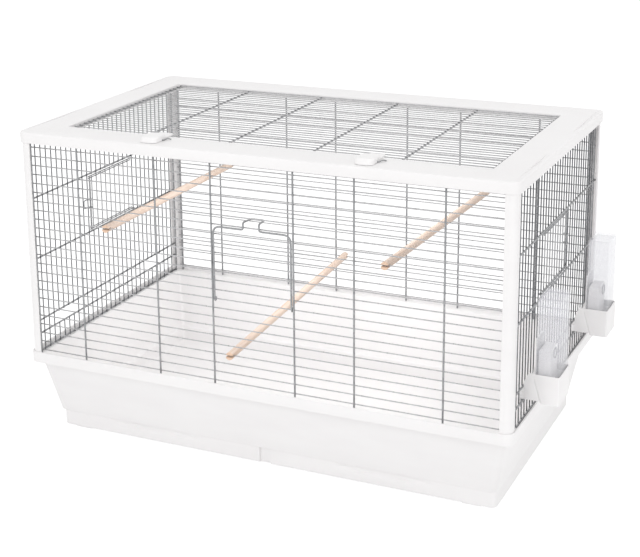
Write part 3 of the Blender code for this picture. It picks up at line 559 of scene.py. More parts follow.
@dataclass(frozen=True)
class ZincWire:
    """Zinc-plated steel wire with duller patches and a fine grain."""

    name: str = "zinc_plated_wire"
    colour: tuple[float, float, float] = (0.40, 0.405, 0.415)
    dull: tuple[float, float, float] = (0.29, 0.295, 0.305)
    slot: str = "steel_wire"

    def material(self) -> bpy.types.Material:
        """Build the material."""
        made = Shading(self.name)
        patches = made.noise(scale=130.0, detail=4.0)
        colour = made.ramp(patches, ((0.32, self.dull), (0.60, self.colour)))
        gloss = made.span(made.noise(scale=420.0), low=0.24, high=0.42)
        made.join(colour, made.shader.inputs["Base Color"])
        made.join(gloss, made.shader.inputs["Roughness"])
        made.bump(made.noise(scale=2600.0), strength=0.08, distance=0.0001)
        made.set(Metallic=0.85)
        return made.material


@dataclass(frozen=True)
class BareWood:
    """Pale bare wood of the perches, with grain along the rod and warmer ends."""

    name: str = "bare_perch_wood"
    pale: tuple[float, float, float] = (0.77, 0.63, 0.54)
    warm: tuple[float, float, float] = (0.73, 0.58, 0.48)
    dark: tuple[float, float, float] = (0.64, 0.47, 0.37)
    end: tuple[float, float, float] = (0.82, 0.58, 0.42)
    end_share: float = 0.85
    end_from: float = 0.2355
    end_full: float = 0.2375
    slot: str = "perch_wood"

    def material(self) -> bpy.types.Material:
        """Build the material."""
        made = Shading(self.name)
        grain = made.noise(scale=300.0, detail=4.0, place=made.stretched((1.0, 0.035, 1.0)))
        side = made.ramp(grain, ((0.25, self.dark), (0.42, self.warm), (0.66, self.pale)))
        at_end = made.span(made.away(Axis.Y.value), 0.0, self.end_share, self.end_from, self.end_full)
        made.join(made.blend(side, self.end, at_end), made.shader.inputs["Base Color"])
        made.join(made.span(grain, low=0.70, high=0.55), made.shader.inputs["Roughness"])
        made.bump(grain, strength=0.25, distance=0.0003)
        return made.material


class Finishes:
    """Makes each finish's material once and hands it out again."""

    def __init__(self) -> None:
        """Start with no material made."""
        self.made: dict[str, bpy.types.Material] = {}

    def of(self, finish: "Finish") -> bpy.types.Material:
        """The material of a finish."""
        if finish.name not in self.made:
            self.made[finish.name] = finish.material()
        return self.made[finish.name]


Finish = MouldedPlastic | ClearPlastic | ZincWire | BareWood
WHITE = MouldedPlastic()
CLEAR = ClearPlastic()
ZINC = ZincWire()
# Level wires of the walls, door and lid: the same zinc wire with its colour painted lighter, a painted
# reflection of the light from above.
ROW_WIRE_PAINTED_REFLECTION = ZincWire(name="row_wire_painted_reflection", colour=(0.56, 0.56, 0.57), dull=(0.45, 0.45, 0.46))
# Upright wires of the side walls: the same zinc wire with its colour painted darker, painted shade where they
# catch little light from above.
UPRIGHT_WIRE_PAINTED_SHADE = ZincWire(name="upright_wire_painted_shade", colour=(0.17, 0.175, 0.185), dull=(0.11, 0.115, 0.125))
WOOD = BareWood()
FINISHES = Finishes()


# Sizes and pieces


@dataclass(frozen=True)
class CageSizes:
    """Sizes that several sub-assemblies share, from the cage's own middle."""

    middle_x: float
    half_length: float = 0.400
    half_depth: float = 0.2425
    height: float = 0.500
    corner: float = 0.015
    ledge: float = 0.130
    plate_under: float = 0.497
    wall_top: float = 0.4955
    wall_foot: float = 0.1303
    thin: float = 0.0009
    thick: float = 0.00145
    weld: float = 0.00025
    wall_y: float = 0.2330
    side_x: float = 0.3900
    row_pitch: float = 0.0145565
    row_start: float = 0.1405
    side_pitch: float = 0.0145
    slot_low: float = 0.161
    slot_high: float = 0.183
    slot_centre: float = 0.145
    opening_low: float = 0.287
    opening_high: float = 0.387
    hinge_y: float = 0.07975
    latch_y: float = 0.058

    def row(self, number: float) -> float:
        """Height of a wire row of the front and back walls."""
        return self.row_start + number * self.row_pitch


class SubAssembly(ABC):
    """Pieces of the cage that are built and dressed together."""

    sizes: CageSizes

    @abstractmethod
    def build(self) -> list[bpy.types.Object]:
        """Build the pieces and put each one on its body."""

    def piece(self, name: str, surface: Surface, finish: Finish, body: str,
              nodes: Sequence[str] = (), smooth_degrees: float = 40.0) -> bpy.types.Object:
        """Make one finished piece.

        Args:
            name: Name of the piece.
            surface: Its surface, measured from the cage's middle.
            finish: Its finish.
            body: The body that it rides on.
            nodes: The CAD nodes that it stands for.
            smooth_degrees: Edges sharper than this stay sharp.

        Returns:
            The piece's object.
        """
        mesh = bpy.data.meshes.new(name)
        points = surface.points + np.array([self.sizes.middle_x, 0.0, 0.0])
        faces = [row for group in surface.faces for row in group.tolist()]
        mesh.from_pydata(points.tolist(), [], faces)
        mesh.materials.append(FINISHES.of(finish))
        mesh.shade_smooth()
        mesh.set_sharp_from_angle(angle=math.radians(smooth_degrees))
        made = bpy.data.objects.new(name, mesh)
        bpy.context.scene.collection.objects.link(made)
        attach(made, body)
        if nodes:
            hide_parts(*nodes)
        LOG.info("%s: %d faces on %s", name, len(faces), body)
        return made


@dataclass
class Tray(SubAssembly):
    """Deep tray with a rim, a ledge, a tapered body and a foot band.

    Attributes:
        body: Half length and half width of the body under the rim.
        low: The same where the body meets the foot band.
        foot: The same of the foot band.
        pad: Length, width and distance from the band's end of each pad.
    """

    sizes: CageSizes
    rim_top: float = 0.138
    rim_skirt: float = 0.018
    rim_wall: float = 0.0027
    wall: float = 0.0025
    body: tuple[float, float] = (0.3885, 0.2305)
    low: tuple[float, float] = (0.3690, 0.2070)
    foot: tuple[float, float] = (0.3670, 0.2030)
    foot_top: float = 0.0285
    foot_bottom: float = 0.002
    foot_wall: float = 0.0045
    floor: float = 0.006
    body_radius: float = 0.008
    foot_radius: float = 0.010
    scoop_centre: float = 0.1935
    scoop_half: float = 0.0785
    scoop_rise: float = 0.0215
    scoop_height: float = 0.0055
    scoop_depth: float = 0.0028
    scoop_steepness: float = 2.2
    scoop_margin: float = 1.05
    scoop_places: int = 33
    gap_half: float = 0.009
    gap_depth: float = 0.0040
    gap_slope: float = 0.0008
    gap_headroom: float = 0.0015
    band_skin: float = 0.0012
    band_rows: int = 12
    floor_border: float = 0.02
    fine_edge: float = 0.0006
    rim_edge: float = 0.0008
    edge: float = 0.0010
    rim_crown: float = 0.0012
    shoulder: float = 0.0020
    inner_turn: float = 0.0030
    floor_turn: float = 0.0040
    pad: tuple[float, float, float] = (0.030, 0.014, 0.022)
    pad_set_in: float = 0.001
    pad_radius: float = 0.003
    pad_foot_radius: float = 0.0026
    pad_ease: float = 0.0006

    def build(self) -> list[bpy.types.Object]:
        """Build the tray with its pads as one piece."""
        parts = [self.shell()] + self.pads()
        return [self.piece("tray", joined(parts), WHITE, "cage", ("base_tray",))]

    def section(self) -> tuple[list[tuple[float, ...]], list[float]]:
        """Rows of the tray's section from the underside round to the floor.

        Returns:
            The rows for loft() and the reach of the rounding at each one.
        """
        rim = centred((self.sizes.half_length, self.sizes.half_depth))
        body, low, foot = centred(self.body), centred(self.low), centred(self.foot)
        skirt = self.rim_top - self.rim_skirt
        ledge = self.sizes.ledge
        corner = self.sizes.corner
        rim_hollow = corner - self.rim_wall
        body_hollow = self.body_radius - self.wall
        foot_hollow = self.foot_radius - self.foot_wall
        turned = [
            (level_row(foot, self.foot_wall, foot_hollow, self.floor - self.wall), 0.0),
            (level_row(foot, self.foot_wall, foot_hollow, self.foot_bottom), self.fine_edge),
            (level_row(foot, 0.0, self.foot_radius, self.foot_bottom), self.edge),
            (level_row(foot, 0.0, self.foot_radius, self.foot_top), self.edge),
            (level_row(low, 0.0, self.body_radius, self.foot_top), self.edge),
            (level_row(body, 0.0, self.body_radius, ledge - self.wall), self.shoulder),
            (level_row(rim, self.rim_wall, rim_hollow, ledge - self.wall), self.shoulder),
            (level_row(rim, self.rim_wall, rim_hollow, skirt), self.fine_edge),
            (level_row(rim, 0.0, corner, skirt), self.rim_edge),
            (level_row(rim, 0.0, corner, self.rim_top), self.rim_crown),
            (level_row(rim, self.rim_wall, rim_hollow, self.rim_top), self.rim_edge),
            (level_row(rim, self.rim_wall, rim_hollow, ledge), self.edge),
            (level_row(body, self.wall, body_hollow, ledge), self.shoulder),
            (level_row(low, self.wall, body_hollow, self.foot_top + 2 * self.wall), self.inner_turn),
            (level_row(foot, self.foot_wall, foot_hollow, self.foot_top + self.wall), self.inner_turn),
            (level_row(foot, self.foot_wall, foot_hollow, self.floor), self.floor_turn),
            (level_row(foot, self.foot_wall + self.floor_border, foot_hollow, self.floor), 0.0),
        ]
        rows, reaches = zip(*turned)
        return list(rows), list(reaches)

    def shell(self) -> Surface:
        """The tray's shell, with the finger scoops and the centre gap pressed in.

        The scoop's depth is d s (1 - (u/a)^2 - (v/b)^2) with the steepness s, held
        between nothing and d, and the gap is a straight-sided notch.
        """
        rows, reaches = self.section()
        foot_rows = np.linspace(self.foot_bottom, self.foot_top, self.band_rows)[1:-1]
        start = rows[2]
        extra = [start[:5] + (float(z),) for z in foot_rows]
        rows = rows[:3] + extra + rows[3:]
        reaches = reaches[:3] + [0.0] * len(extra) + reaches[3:]
        straight = self.foot[0] - self.foot_radius
        notch = np.array([self.gap_half, self.gap_half + self.gap_slope]) / straight
        places = np.linspace(-self.scoop_margin, self.scoop_margin, self.scoop_places)
        scoop = (self.scoop_centre + self.scoop_half * places) / straight
        half = np.concatenate([notch, scoop])
        shell = loft(rows, reaches, along_x=np.concatenate([-half, half]), corner_steps=8)
        points = shell.points
        on_band = ((points[:, 2] < self.foot_top + SAME_LEVEL)
                   & (np.abs(points[:, 1]) > self.foot[1] - self.band_skin))
        across = (np.abs(points[:, 0]) - self.scoop_centre) / self.scoop_half
        up = (points[:, 2] - self.scoop_rise) / self.scoop_height
        lens = np.clip(self.scoop_steepness * (1 - across ** 2 - up ** 2), 0.0, 1.0) * self.scoop_depth
        in_gap = ((np.abs(points[:, 0]) < self.gap_half + self.gap_slope / 2)
                  & (points[:, 2] < self.foot_top - self.gap_headroom))
        depth = np.where(on_band, np.maximum(lens, np.where(in_gap, self.gap_depth, 0.0)), 0.0)
        points[:, 1] -= np.sign(points[:, 1]) * depth
        return shell

    def pads(self) -> list[Surface]:
        """Four level pads that the tray stands on."""
        length, width, inset = self.pad
        made = []
        for sign_x in (-1, 1):
            for sign_y in (-1, 1):
                far_x = self.foot[0] - inset
                far_y = self.foot[1] - self.pad_set_in
                plan = (*sorted((sign_x * far_x, sign_x * (far_x - length))),
                        *sorted((sign_y * far_y, sign_y * (far_y - width))))
                rows = [level_row(plan, self.pad_ease, self.pad_foot_radius, 0.0),
                        level_row(plan, 0.0, self.pad_radius, self.pad_ease),
                        level_row(plan, 0.0, self.pad_radius, self.floor - self.wall / 2)]
                made.append(loft(rows, 0.0))
        return made


@dataclass
class RoofFrame(SubAssembly):
    """Hollow white ring round the roof opening.

    Attributes:
        opening: Half length and half width of the opening.
        seat: How far the lid's seat reaches into the opening.
        top_corner_less: How much smaller the top's corners are along the marks' lines.
        mark_side: Width of the slope along a mark's long sides.
        mark_end: Width of the slope at a mark's ends.
    """

    sizes: CageSizes
    skirt: float = 0.017
    wall: float = 0.0025
    opening: tuple[float, float] = (0.345, 0.181)
    seat: float = 0.0055
    seat_z: float = 0.49308
    seat_thick: float = 0.0022
    top_corner_less: float = 0.003
    opening_radius: float = 0.004
    seat_radius: float = 0.003
    under_radius: float = 0.006
    crisp_edge: float = 0.0004
    fine_edge: float = 0.0006
    hollow_edge: float = 0.0010
    opening_edge: float = 0.0012
    top_edge: float = 0.0024
    mark_inset: float = 0.007
    mark_width: float = 0.0035
    mark_length: float = 0.044
    mark_y: float = 0.100
    mark_depth: float = 0.0018
    mark_side: float = 0.0003
    mark_end: float = 0.0004

    def build(self) -> list[bpy.types.Object]:
        """Build the frame."""
        return [self.piece("roof_frame", self.shell(), WHITE, "cage", ("top_frame",))]

    def shell(self) -> Surface:
        """The frame's ring with its rounded edges and the pressed marks."""
        outer = centred((self.sizes.half_length, self.sizes.half_depth))
        opening = centred(self.opening)
        corner = self.sizes.corner
        hollow = corner - self.wall
        top = self.sizes.height
        low = top - self.skirt
        under = self.sizes.plate_under
        seat_low = self.seat_z - self.seat_thick
        half_mark = self.mark_width / 2
        edges = [self.mark_inset - half_mark - self.mark_side, self.mark_inset - half_mark,
                 self.mark_inset + half_mark, self.mark_inset + half_mark + self.mark_side]
        turned = [
            (level_row(outer, 0.0, corner, low), self.fine_edge),
            (level_row(outer, 0.0, corner, top), self.top_edge),
            *((level_row(outer, edge, corner - self.top_corner_less, top), 0.0) for edge in edges),
            (level_row(opening, 0.0, self.opening_radius, top), self.opening_edge),
            (level_row(opening, 0.0, self.opening_radius, self.seat_z), self.crisp_edge),
            (level_row(opening, self.seat, self.seat_radius, self.seat_z), self.fine_edge),
            (level_row(opening, self.seat, self.seat_radius, seat_low), self.fine_edge),
            (level_row(opening, -self.wall, self.under_radius, seat_low), self.crisp_edge),
            (level_row(opening, -self.wall, self.under_radius, under), self.fine_edge),
            (level_row(outer, self.wall, hollow, under), self.hollow_edge),
            (level_row(outer, self.wall, hollow, low), self.fine_edge),
        ]
        rows, reaches = zip(*turned)
        straight = self.sizes.half_depth - corner
        ends = np.array([self.mark_y - self.mark_length / 2, self.mark_y + self.mark_length / 2])
        ends = np.concatenate([ends, ends + (-self.mark_end, self.mark_end)]) / straight
        shell = loft(rows, reaches, wrap=True, along_y=np.concatenate([-ends, ends]), corner_steps=8)
        points = shell.points
        off_x = np.abs(np.abs(points[:, 0]) - (self.sizes.half_length - self.mark_inset))
        off_y = np.abs(np.abs(points[:, 1]) - self.mark_y)
        pressed = ((off_x < half_mark + SAME_LEVEL)
                   & (off_y < self.mark_length / 2 + self.mark_end / 2)
                   & (points[:, 2] > top - SAME_LEVEL))
        points[pressed, 2] -= self.mark_depth
        return shell


@dataclass
class CornerPosts(SubAssembly):
    """Four corner posts of L section with wider feet."""

    sizes: CageSizes
    reach: float = 0.003
    leg: float = 0.0175
    foot_leg: float = 0.030
    foot_height: float = 0.006
    wall: float = 0.0025
    lip: float = 0.0006
    ease: float = 0.0005
    top_gap: float = 0.0003
    corner_steps: int = 8

    def build(self) -> list[bpy.types.Object]:
        """Build the four posts."""
        made = []
        for end, sign_y in FRONT_AND_BACK:
            for hand, sign_x in LEFT_AND_RIGHT:
                name = f"{end}_{hand}_post"
                made.append(self.piece(f"{name}_shell", self.post(sign_x, sign_y), WHITE, "cage", (name,)))
        return made

    def outline(self, leg: float) -> np.ndarray:
        """Outline of a post at the +X +Y corner for one leg width."""
        out_x = self.sizes.half_length - self.reach
        out_y = self.sizes.half_depth - self.reach
        radius = self.sizes.corner - self.reach
        inner = radius - self.wall
        centre = (out_x - radius, out_y - radius)
        lip = self.lip
        return np.concatenate([
            [(out_x - leg, out_y - self.wall + lip), (out_x - leg, out_y - lip), (out_x - leg + lip, out_y)],
            arc(centre, (radius, radius), 90, 0, self.corner_steps),
            [(out_x, out_y - leg + lip), (out_x - lip, out_y - leg), (out_x - self.wall + lip, out_y - leg),
             (out_x - self.wall, out_y - leg + lip)],
            arc(centre, (inner, inner), 0, 90, self.corner_steps),
            [(out_x - leg + lip, out_y - self.wall)],
        ])

    def post(self, sign_x: int, sign_y: int) -> Surface:
        """One post: its outline at each level, the foot wider than the rest."""
        foot = self.sizes.wall_foot
        levels = [(self.foot_leg, foot), (self.foot_leg, foot + self.foot_height - self.ease),
                  (self.foot_leg - self.ease, foot + self.foot_height),
                  (self.leg, foot + self.foot_height),
                  (self.leg, self.sizes.plate_under - self.top_gap)]
        grid = np.empty((len(levels), len(self.outline(self.leg)), 3))
        for index, (leg, z) in enumerate(levels):
            grid[index, :, :2] = self.outline(leg) * (sign_x, sign_y)
            grid[index, :, 2] = z
        return grid_surface(grid, False, True)


@dataclass
class WireWalls(SubAssembly):
    """The four welded wire walls.

    Attributes:
        bars: Distance of each upright bar from the middle, on both sides.
        door_rows: The rows below and above the front door's opening.
        slot_wires: Upright wires that each feeder slot cuts.
        past_share: How far a cut wire passes the wire it ends on, against its radius.
    """

    sizes: CageSizes
    rows: int = 24
    row_reach: float = 0.385
    bars: tuple[float, ...] = (0.0665, 0.161, 0.296, 0.3800)
    door_rows: tuple[int, int] = (9, 17)
    side_wires: int = 30
    edge_y: float = 0.226
    slot_wires: int = 4
    past_share: float = 0.6

    def build(self) -> list[bpy.types.Object]:
        """Build the front, back, left and right walls."""
        made = []
        for end, side in FRONT_AND_BACK:
            # The rows get the zinc wire painted lighter, a painted reflection of the light from above.
            made.append(self.piece(f"{end}_wall_rows", self.rows_of(side), ROW_WIRE_PAINTED_REFLECTION, "cage",
                                   (f"{end}_grille",)))
            made.append(self.piece(f"{end}_wall_bars", self.bars_of(side), ZINC, "cage"))
        for hand, side in LEFT_AND_RIGHT:
            # The uprights get the zinc wire painted darker, painted shade.
            made.append(self.piece(f"{hand}_wall_uprights", self.uprights_of(side), UPRIGHT_WIRE_PAINTED_SHADE, "cage",
                                   (f"{hand}_grille",)))
            made.append(self.piece(f"{hand}_wall_rods", self.rods_of(side), ZINC, "cage"))
        return made

    def rows_of(self, side: int) -> Surface:
        """Level rows of the front or back wall; the front door's rows are left out."""
        size = self.sizes
        y = side * size.wall_y
        starts, ends = [], []
        for row in range(self.rows):
            z = size.row(row)
            if side < 0 and self.door_rows[0] < row < self.door_rows[1]:
                inner = self.bars[0] + self.past_share * size.thick
                starts += [(-self.row_reach, y, z), (inner, y, z)]
                ends += [(-inner, y, z), (self.row_reach, y, z)]
            else:
                starts.append((-self.row_reach, y, z))
                ends.append((self.row_reach, y, z))
        return straight_wires(starts, ends, size.thin)

    def bars_of(self, side: int) -> Surface:
        """Upright bars of the front or back wall, welded outside its rows."""
        size = self.sizes
        bar_y = side * (size.wall_y + size.thin + size.thick - size.weld)
        xs = np.concatenate([-np.array(self.bars), self.bars])
        low = np.stack([xs, np.full_like(xs, bar_y), np.full_like(xs, size.wall_foot)], axis=1)
        high = low.copy()
        high[:, 2] = size.wall_top
        return straight_wires(low, high, size.thick)

    def uprights_of(self, side: int) -> Surface:
        """Upright wires of the left or right wall, cut at its door and slots."""
        size = self.sizes
        bottom = size.wall_foot + size.thick
        starts, ends = [], []
        for index in range(self.side_wires):
            y = (index - (self.side_wires - 1) / 2) * size.side_pitch
            for low, high in self.spans(y, side, bottom):
                starts.append((side * size.side_x, y, low))
                ends.append((side * size.side_x, y, high))
        return straight_wires(starts, ends, size.thin)

    def rods_of(self, side: int) -> Surface:
        """Level rods of the left or right wall, outside its uprights, and its two edge wires."""
        size = self.sizes
        rod_x = side * (size.side_x + size.thin + size.thick - size.weld)
        edge_x = side * (size.side_x + size.thin - size.thick)
        edges = [(edge_x, sign * self.edge_y, size.wall_foot) for sign in (-1, 1)]
        edge_tops = [(x, y, size.wall_top) for x, y, _ in edges]
        reach = self.edge_y + size.thick
        rods = [(rod_x, -reach, z) for z in (size.wall_foot + size.thick, size.slot_low, size.slot_high,
                                             size.opening_low, size.opening_high)]
        rod_ends = [(x, reach, z) for x, _, z in rods]
        return straight_wires(edges + rods, edge_tops + rod_ends, size.thick)

    def spans(self, y: float, side: int, bottom: float) -> list[tuple[float, float]]:
        """Height spans of one upright wire, cut at the door and feeder slots."""
        size = self.sizes
        past = self.past_share * size.thick
        low = bottom - past
        if abs(abs(y) - size.slot_centre) < size.side_pitch * self.slot_wires / 2:
            return [(low, size.slot_low + past), (size.slot_high - past, size.wall_top)]
        if size.side_pitch / 2 - size.hinge_y < y * side < size.latch_y:
            return [(low, size.opening_low + past), (size.opening_high - past, size.wall_top)]
        return [(low, size.wall_top)]


@dataclass
class FrontDoor(SubAssembly):
    """Drop-down door: one bent frame wire with its rows and hinge loops.

    Attributes:
        catch: Where the catch's two upright runs lie across the door.
        catch_over: How far the catch rises above the wall's row.
        catch_reach: How far it reaches into the cage.
    """

    sizes: CageSizes
    half: float = 0.063
    hinge_row: int = 9
    top_row: int = 17
    top_drop: float = 0.0028
    corner: float = 0.012
    loop: float = 0.0029
    catch: tuple[float, float] = (-0.0135, 0.0125)
    catch_over: float = 0.0085
    catch_reach: float = 0.021
    catch_slant: float = 0.004
    bend: float = 0.0040

    def build(self) -> list[bpy.types.Object]:
        """Build the door."""
        size = self.sizes
        y = -(size.wall_y + self.loop)
        hinge_z = size.row(self.hinge_row)
        frame = tube(self.frame_path(y, hinge_z), size.thick)
        inner_y = y + size.thick + size.thin - size.weld
        heights = [size.row(row) for row in range(self.hinge_row + 1, self.top_row)]
        rows = straight_wires([(-self.half, inner_y, z) for z in heights],
                              [(self.half, inner_y, z) for z in heights], size.thin)
        loops = [tube(ring_path((sign * self.half, -size.wall_y, hinge_z), self.loop,
                                (0, 1, 0), (0, 0, 1)), size.thin, closed=True) for sign in (-1, 1)]
        return [self.piece("front_door_frame", joined([frame, *loops]), ZINC, "front_door", ("front_door",)),
                # Door rows: the zinc wire painted lighter, a painted reflection of the light from above.
                self.piece("front_door_rows", rows, ROW_WIRE_PAINTED_REFLECTION, "front_door")]

    def frame_path(self, y: float, hinge_z: float) -> np.ndarray:
        """Route of the frame wire: up, across with the catch bent into it, and down."""
        top = self.sizes.row(self.top_row) - self.top_drop
        high = self.sizes.row(self.top_row) + self.catch_over
        left, right = self.catch
        slant = self.catch_slant
        inside = y + self.catch_reach
        catch = [(left, y, top), (left, y, high), (left + slant, inside, high),
                 (right - slant / 4, inside, high), (right, y, high), (right, y, top)]
        route = [(-self.half, y, hinge_z), (-self.half, y, top), *catch,
                 (self.half, y, top), (self.half, y, hinge_z)]
        reach = [0, self.corner, *[self.bend] * len(catch), self.corner, 0]
        return rounded_path(route, reach, BEND_STEPS)


@dataclass
class SideDoors(SubAssembly):
    """Left and right doors with their hinge loops and swinging clips.

    Attributes:
        double: Distance between the two level wires at the top and at the bottom.
        clip: Heights of the clip's two arms.
    """

    sizes: CageSizes
    top: float = 0.3830
    bottom: float = 0.2912
    double: float = 0.0030
    loop: float = 0.0029
    loop_space: float = 0.0022
    loop_wire_share: float = 0.9
    clip: tuple[float, float] = (0.3296, 0.3436)
    clip_reach: float = 0.0135
    clip_loop: float = 0.0034
    clip_stand: float = 0.001
    clip_bend: float = 0.004

    def build(self) -> list[bpy.types.Object]:
        """Build both doors and both clips."""
        made = []
        for hand, side in LEFT_AND_RIGHT:
            made.append(self.piece(f"{hand}_door_wires", self.door(side), ZINC, f"{hand}_door",
                                   (f"{hand}_door",)))
            made.append(self.piece(f"{hand}_clip_wire", self.clip_wire(side), ZINC, f"{hand}_clip",
                                   (f"{hand}_door_clip",)))
        return made

    def door(self, side: int) -> Surface:
        """One door: upright wires between doubled level wires, looped to the wall."""
        size = self.sizes
        hinge = -size.hinge_y * side
        latch = size.latch_y * side
        count = int((size.hinge_y + size.latch_y) / size.side_pitch)
        ys = hinge + side * size.side_pitch * np.arange(1, count + 1)
        x = side * size.side_x
        over = size.thin / 2
        uprights = straight_wires([(x, y, self.bottom - over) for y in ys],
                                  [(x, y, self.top + over) for y in ys], size.thin)
        edge_x = side * (size.side_x + size.thin - size.thick)
        edge = straight_wires([(edge_x, latch, self.bottom - over)], [(edge_x, latch, self.top + over)],
                              size.thick)
        level_x = side * (size.side_x + 2 * size.thin - size.weld)
        heights = (self.bottom, self.bottom + self.double, self.top - self.double, self.top)
        levels = straight_wires([(level_x, hinge + side * self.loop_space, z) for z in heights],
                                [(level_x, latch + side * size.thick, z) for z in heights], size.thin)
        loops = [tube(ring_path((x, hinge, z), self.loop, (1, 0, 0), (0, 1, 0)),
                      self.loop_wire_share * size.thin, closed=True) for z in (self.bottom, self.top)]
        return joined([uprights, edge, levels, *loops])

    def clip_wire(self, side: int) -> Surface:
        """One clip: a bail of thin wire with a loop at each end round the latch edge."""
        size = self.sizes
        x = side * (size.side_x + size.thin - size.thick)
        y = size.latch_y * side
        low, high = self.clip
        out = x + side * self.clip_loop
        stand = out + side * self.clip_stand
        end = y - self.clip_reach
        path = rounded_path([(out, y, low), (stand, end, low), (stand, end, high), (out, y, high)],
                            self.clip_bend, BEND_STEPS)
        loops = [tube(ring_path((x, y, z), self.clip_loop, (side, 0, 0), (0, 1, 0)), size.thin, closed=True)
                 for z in self.clip]
        return joined([tube(path, size.thin), *loops])


@dataclass
class RoofLid(SubAssembly):
    """Wire lid over the roof opening, with its two latches.

    Attributes:
        bars: Distance of each cross bar from the middle, on both sides.
        tongue: Half width, distance of the tip from the middle, and thickness.
        pin_route: Corners of the bent pin, from where it leaves the latch.
    """

    sizes: CageSizes
    half: tuple[float, float] = (0.3425, 0.1785)
    rest: float = 0.497
    wires: int = 28
    bars: tuple[float, ...] = (0.069, 0.207, 0.3411)
    latch_x: float = 0.1725
    latch_half: float = 0.0145
    latch_front: float = 0.233
    latch_length: float = 0.036
    latch_low: float = 0.5006
    latch_thick: float = 0.008
    latch_corner: float = 0.009
    latch_slope: float = 0.0045
    latch_inset: float = 0.0012
    latch_shoulder: float = 0.002
    latch_edge: float = 0.0010
    tongue: tuple[float, float, float] = (0.012, 0.172, 0.0024)
    tongue_radius: float = 0.003
    tongue_top_radius: float = 0.0026
    tongue_ease: float = 0.0006
    tongue_edge: float = 0.0005
    pin_y: float = 0.212
    pin_route: tuple[tuple[float, float, float], ...] = (
        (-0.004, 0.0, 0.0), (0.002, 0.0, 0.0), (0.004, 0.011, 0.0006), (0.010, 0.010, 0.0),
    )
    pin_bend: float = 0.003

    def build(self) -> list[bpy.types.Object]:
        """Build the lid's wires and the latches with their pins."""
        # Lid wires: the zinc wire painted lighter, a painted reflection of the light from above.
        made = [self.piece("roof_lid_wires", self.lid_wires(), ROW_WIRE_PAINTED_REFLECTION, "lid", ("roof_lid",)),
                self.piece("roof_lid_bars", self.lid_bars(), ZINC, "lid")]
        for hand, side in LEFT_AND_RIGHT:
            made.append(self.piece(f"{hand}_latch_block", self.latch(side), WHITE, f"{hand}_lid_latch",
                                   (f"lid_latch_{hand}",)))
            made.append(self.piece(f"{hand}_latch_pin", self.pin(side), ZINC, f"{hand}_lid_latch"))
        return made

    def lid_wires(self) -> Surface:
        """Thin wires of the lid, along the cage."""
        ys = np.linspace(-self.half[1], self.half[1], self.wires)
        return straight_wires([(-self.half[0], y, self.rest) for y in ys],
                              [(self.half[0], y, self.rest) for y in ys], self.sizes.thin)

    def lid_bars(self) -> Surface:
        """Thicker bars across the lid, welded under its thin wires."""
        size = self.sizes
        z = self.rest - size.thin - size.thick + size.weld
        xs = [sign * x for x in self.bars for sign in (-1, 1)]
        reach = self.half[1] + size.thin / 2
        return straight_wires([(x, -reach, z) for x in xs], [(x, reach, z) for x in xs], size.thick)

    def latch(self, side: int) -> Surface:
        """One latch: a rounded block on the frame and a thin tongue over the lid."""
        centre = side * self.latch_x
        low, corner = self.latch_low, self.latch_corner
        left, right = centre - self.latch_half, centre + self.latch_half
        front, back = -self.latch_front, self.latch_length - self.latch_front
        top = low + self.latch_thick
        inset = self.latch_inset
        rows = [
            (left, right, front, back, corner, low),
            (left, right, front + self.latch_slope / 2, back, corner, top - self.latch_shoulder),
            (left + inset, right - inset, front + self.latch_slope, back - inset, corner - inset, top),
        ]
        block = loft(rows, [0.0, self.latch_edge, self.latch_edge], corner_steps=10, edge_steps=5)
        wide, reach, thick = self.tongue
        ease = self.tongue_ease
        plan = (centre - wide, centre + wide, front + self.latch_length / 2, -reach)
        flat = loft([level_row(plan, 0.0, self.tongue_radius, low),
                     level_row(plan, 0.0, self.tongue_radius, low + thick - ease),
                     (plan[0] + ease, plan[1] - ease, plan[2], plan[3] - ease, self.tongue_top_radius,
                      low + thick)],
                    [0.0, self.tongue_edge, 0.0])
        return joined([block, flat])

    def pin(self, side: int) -> Surface:
        """Short bent wire that comes out of a latch's right side and turns along the frame."""
        x = side * self.latch_x + self.latch_half
        z = self.latch_low + self.sizes.thin
        route = np.array([x, -self.pin_y, z]) + self.pin_route
        return tube(rounded_path(route, self.pin_bend, steps=5), self.sizes.thin)


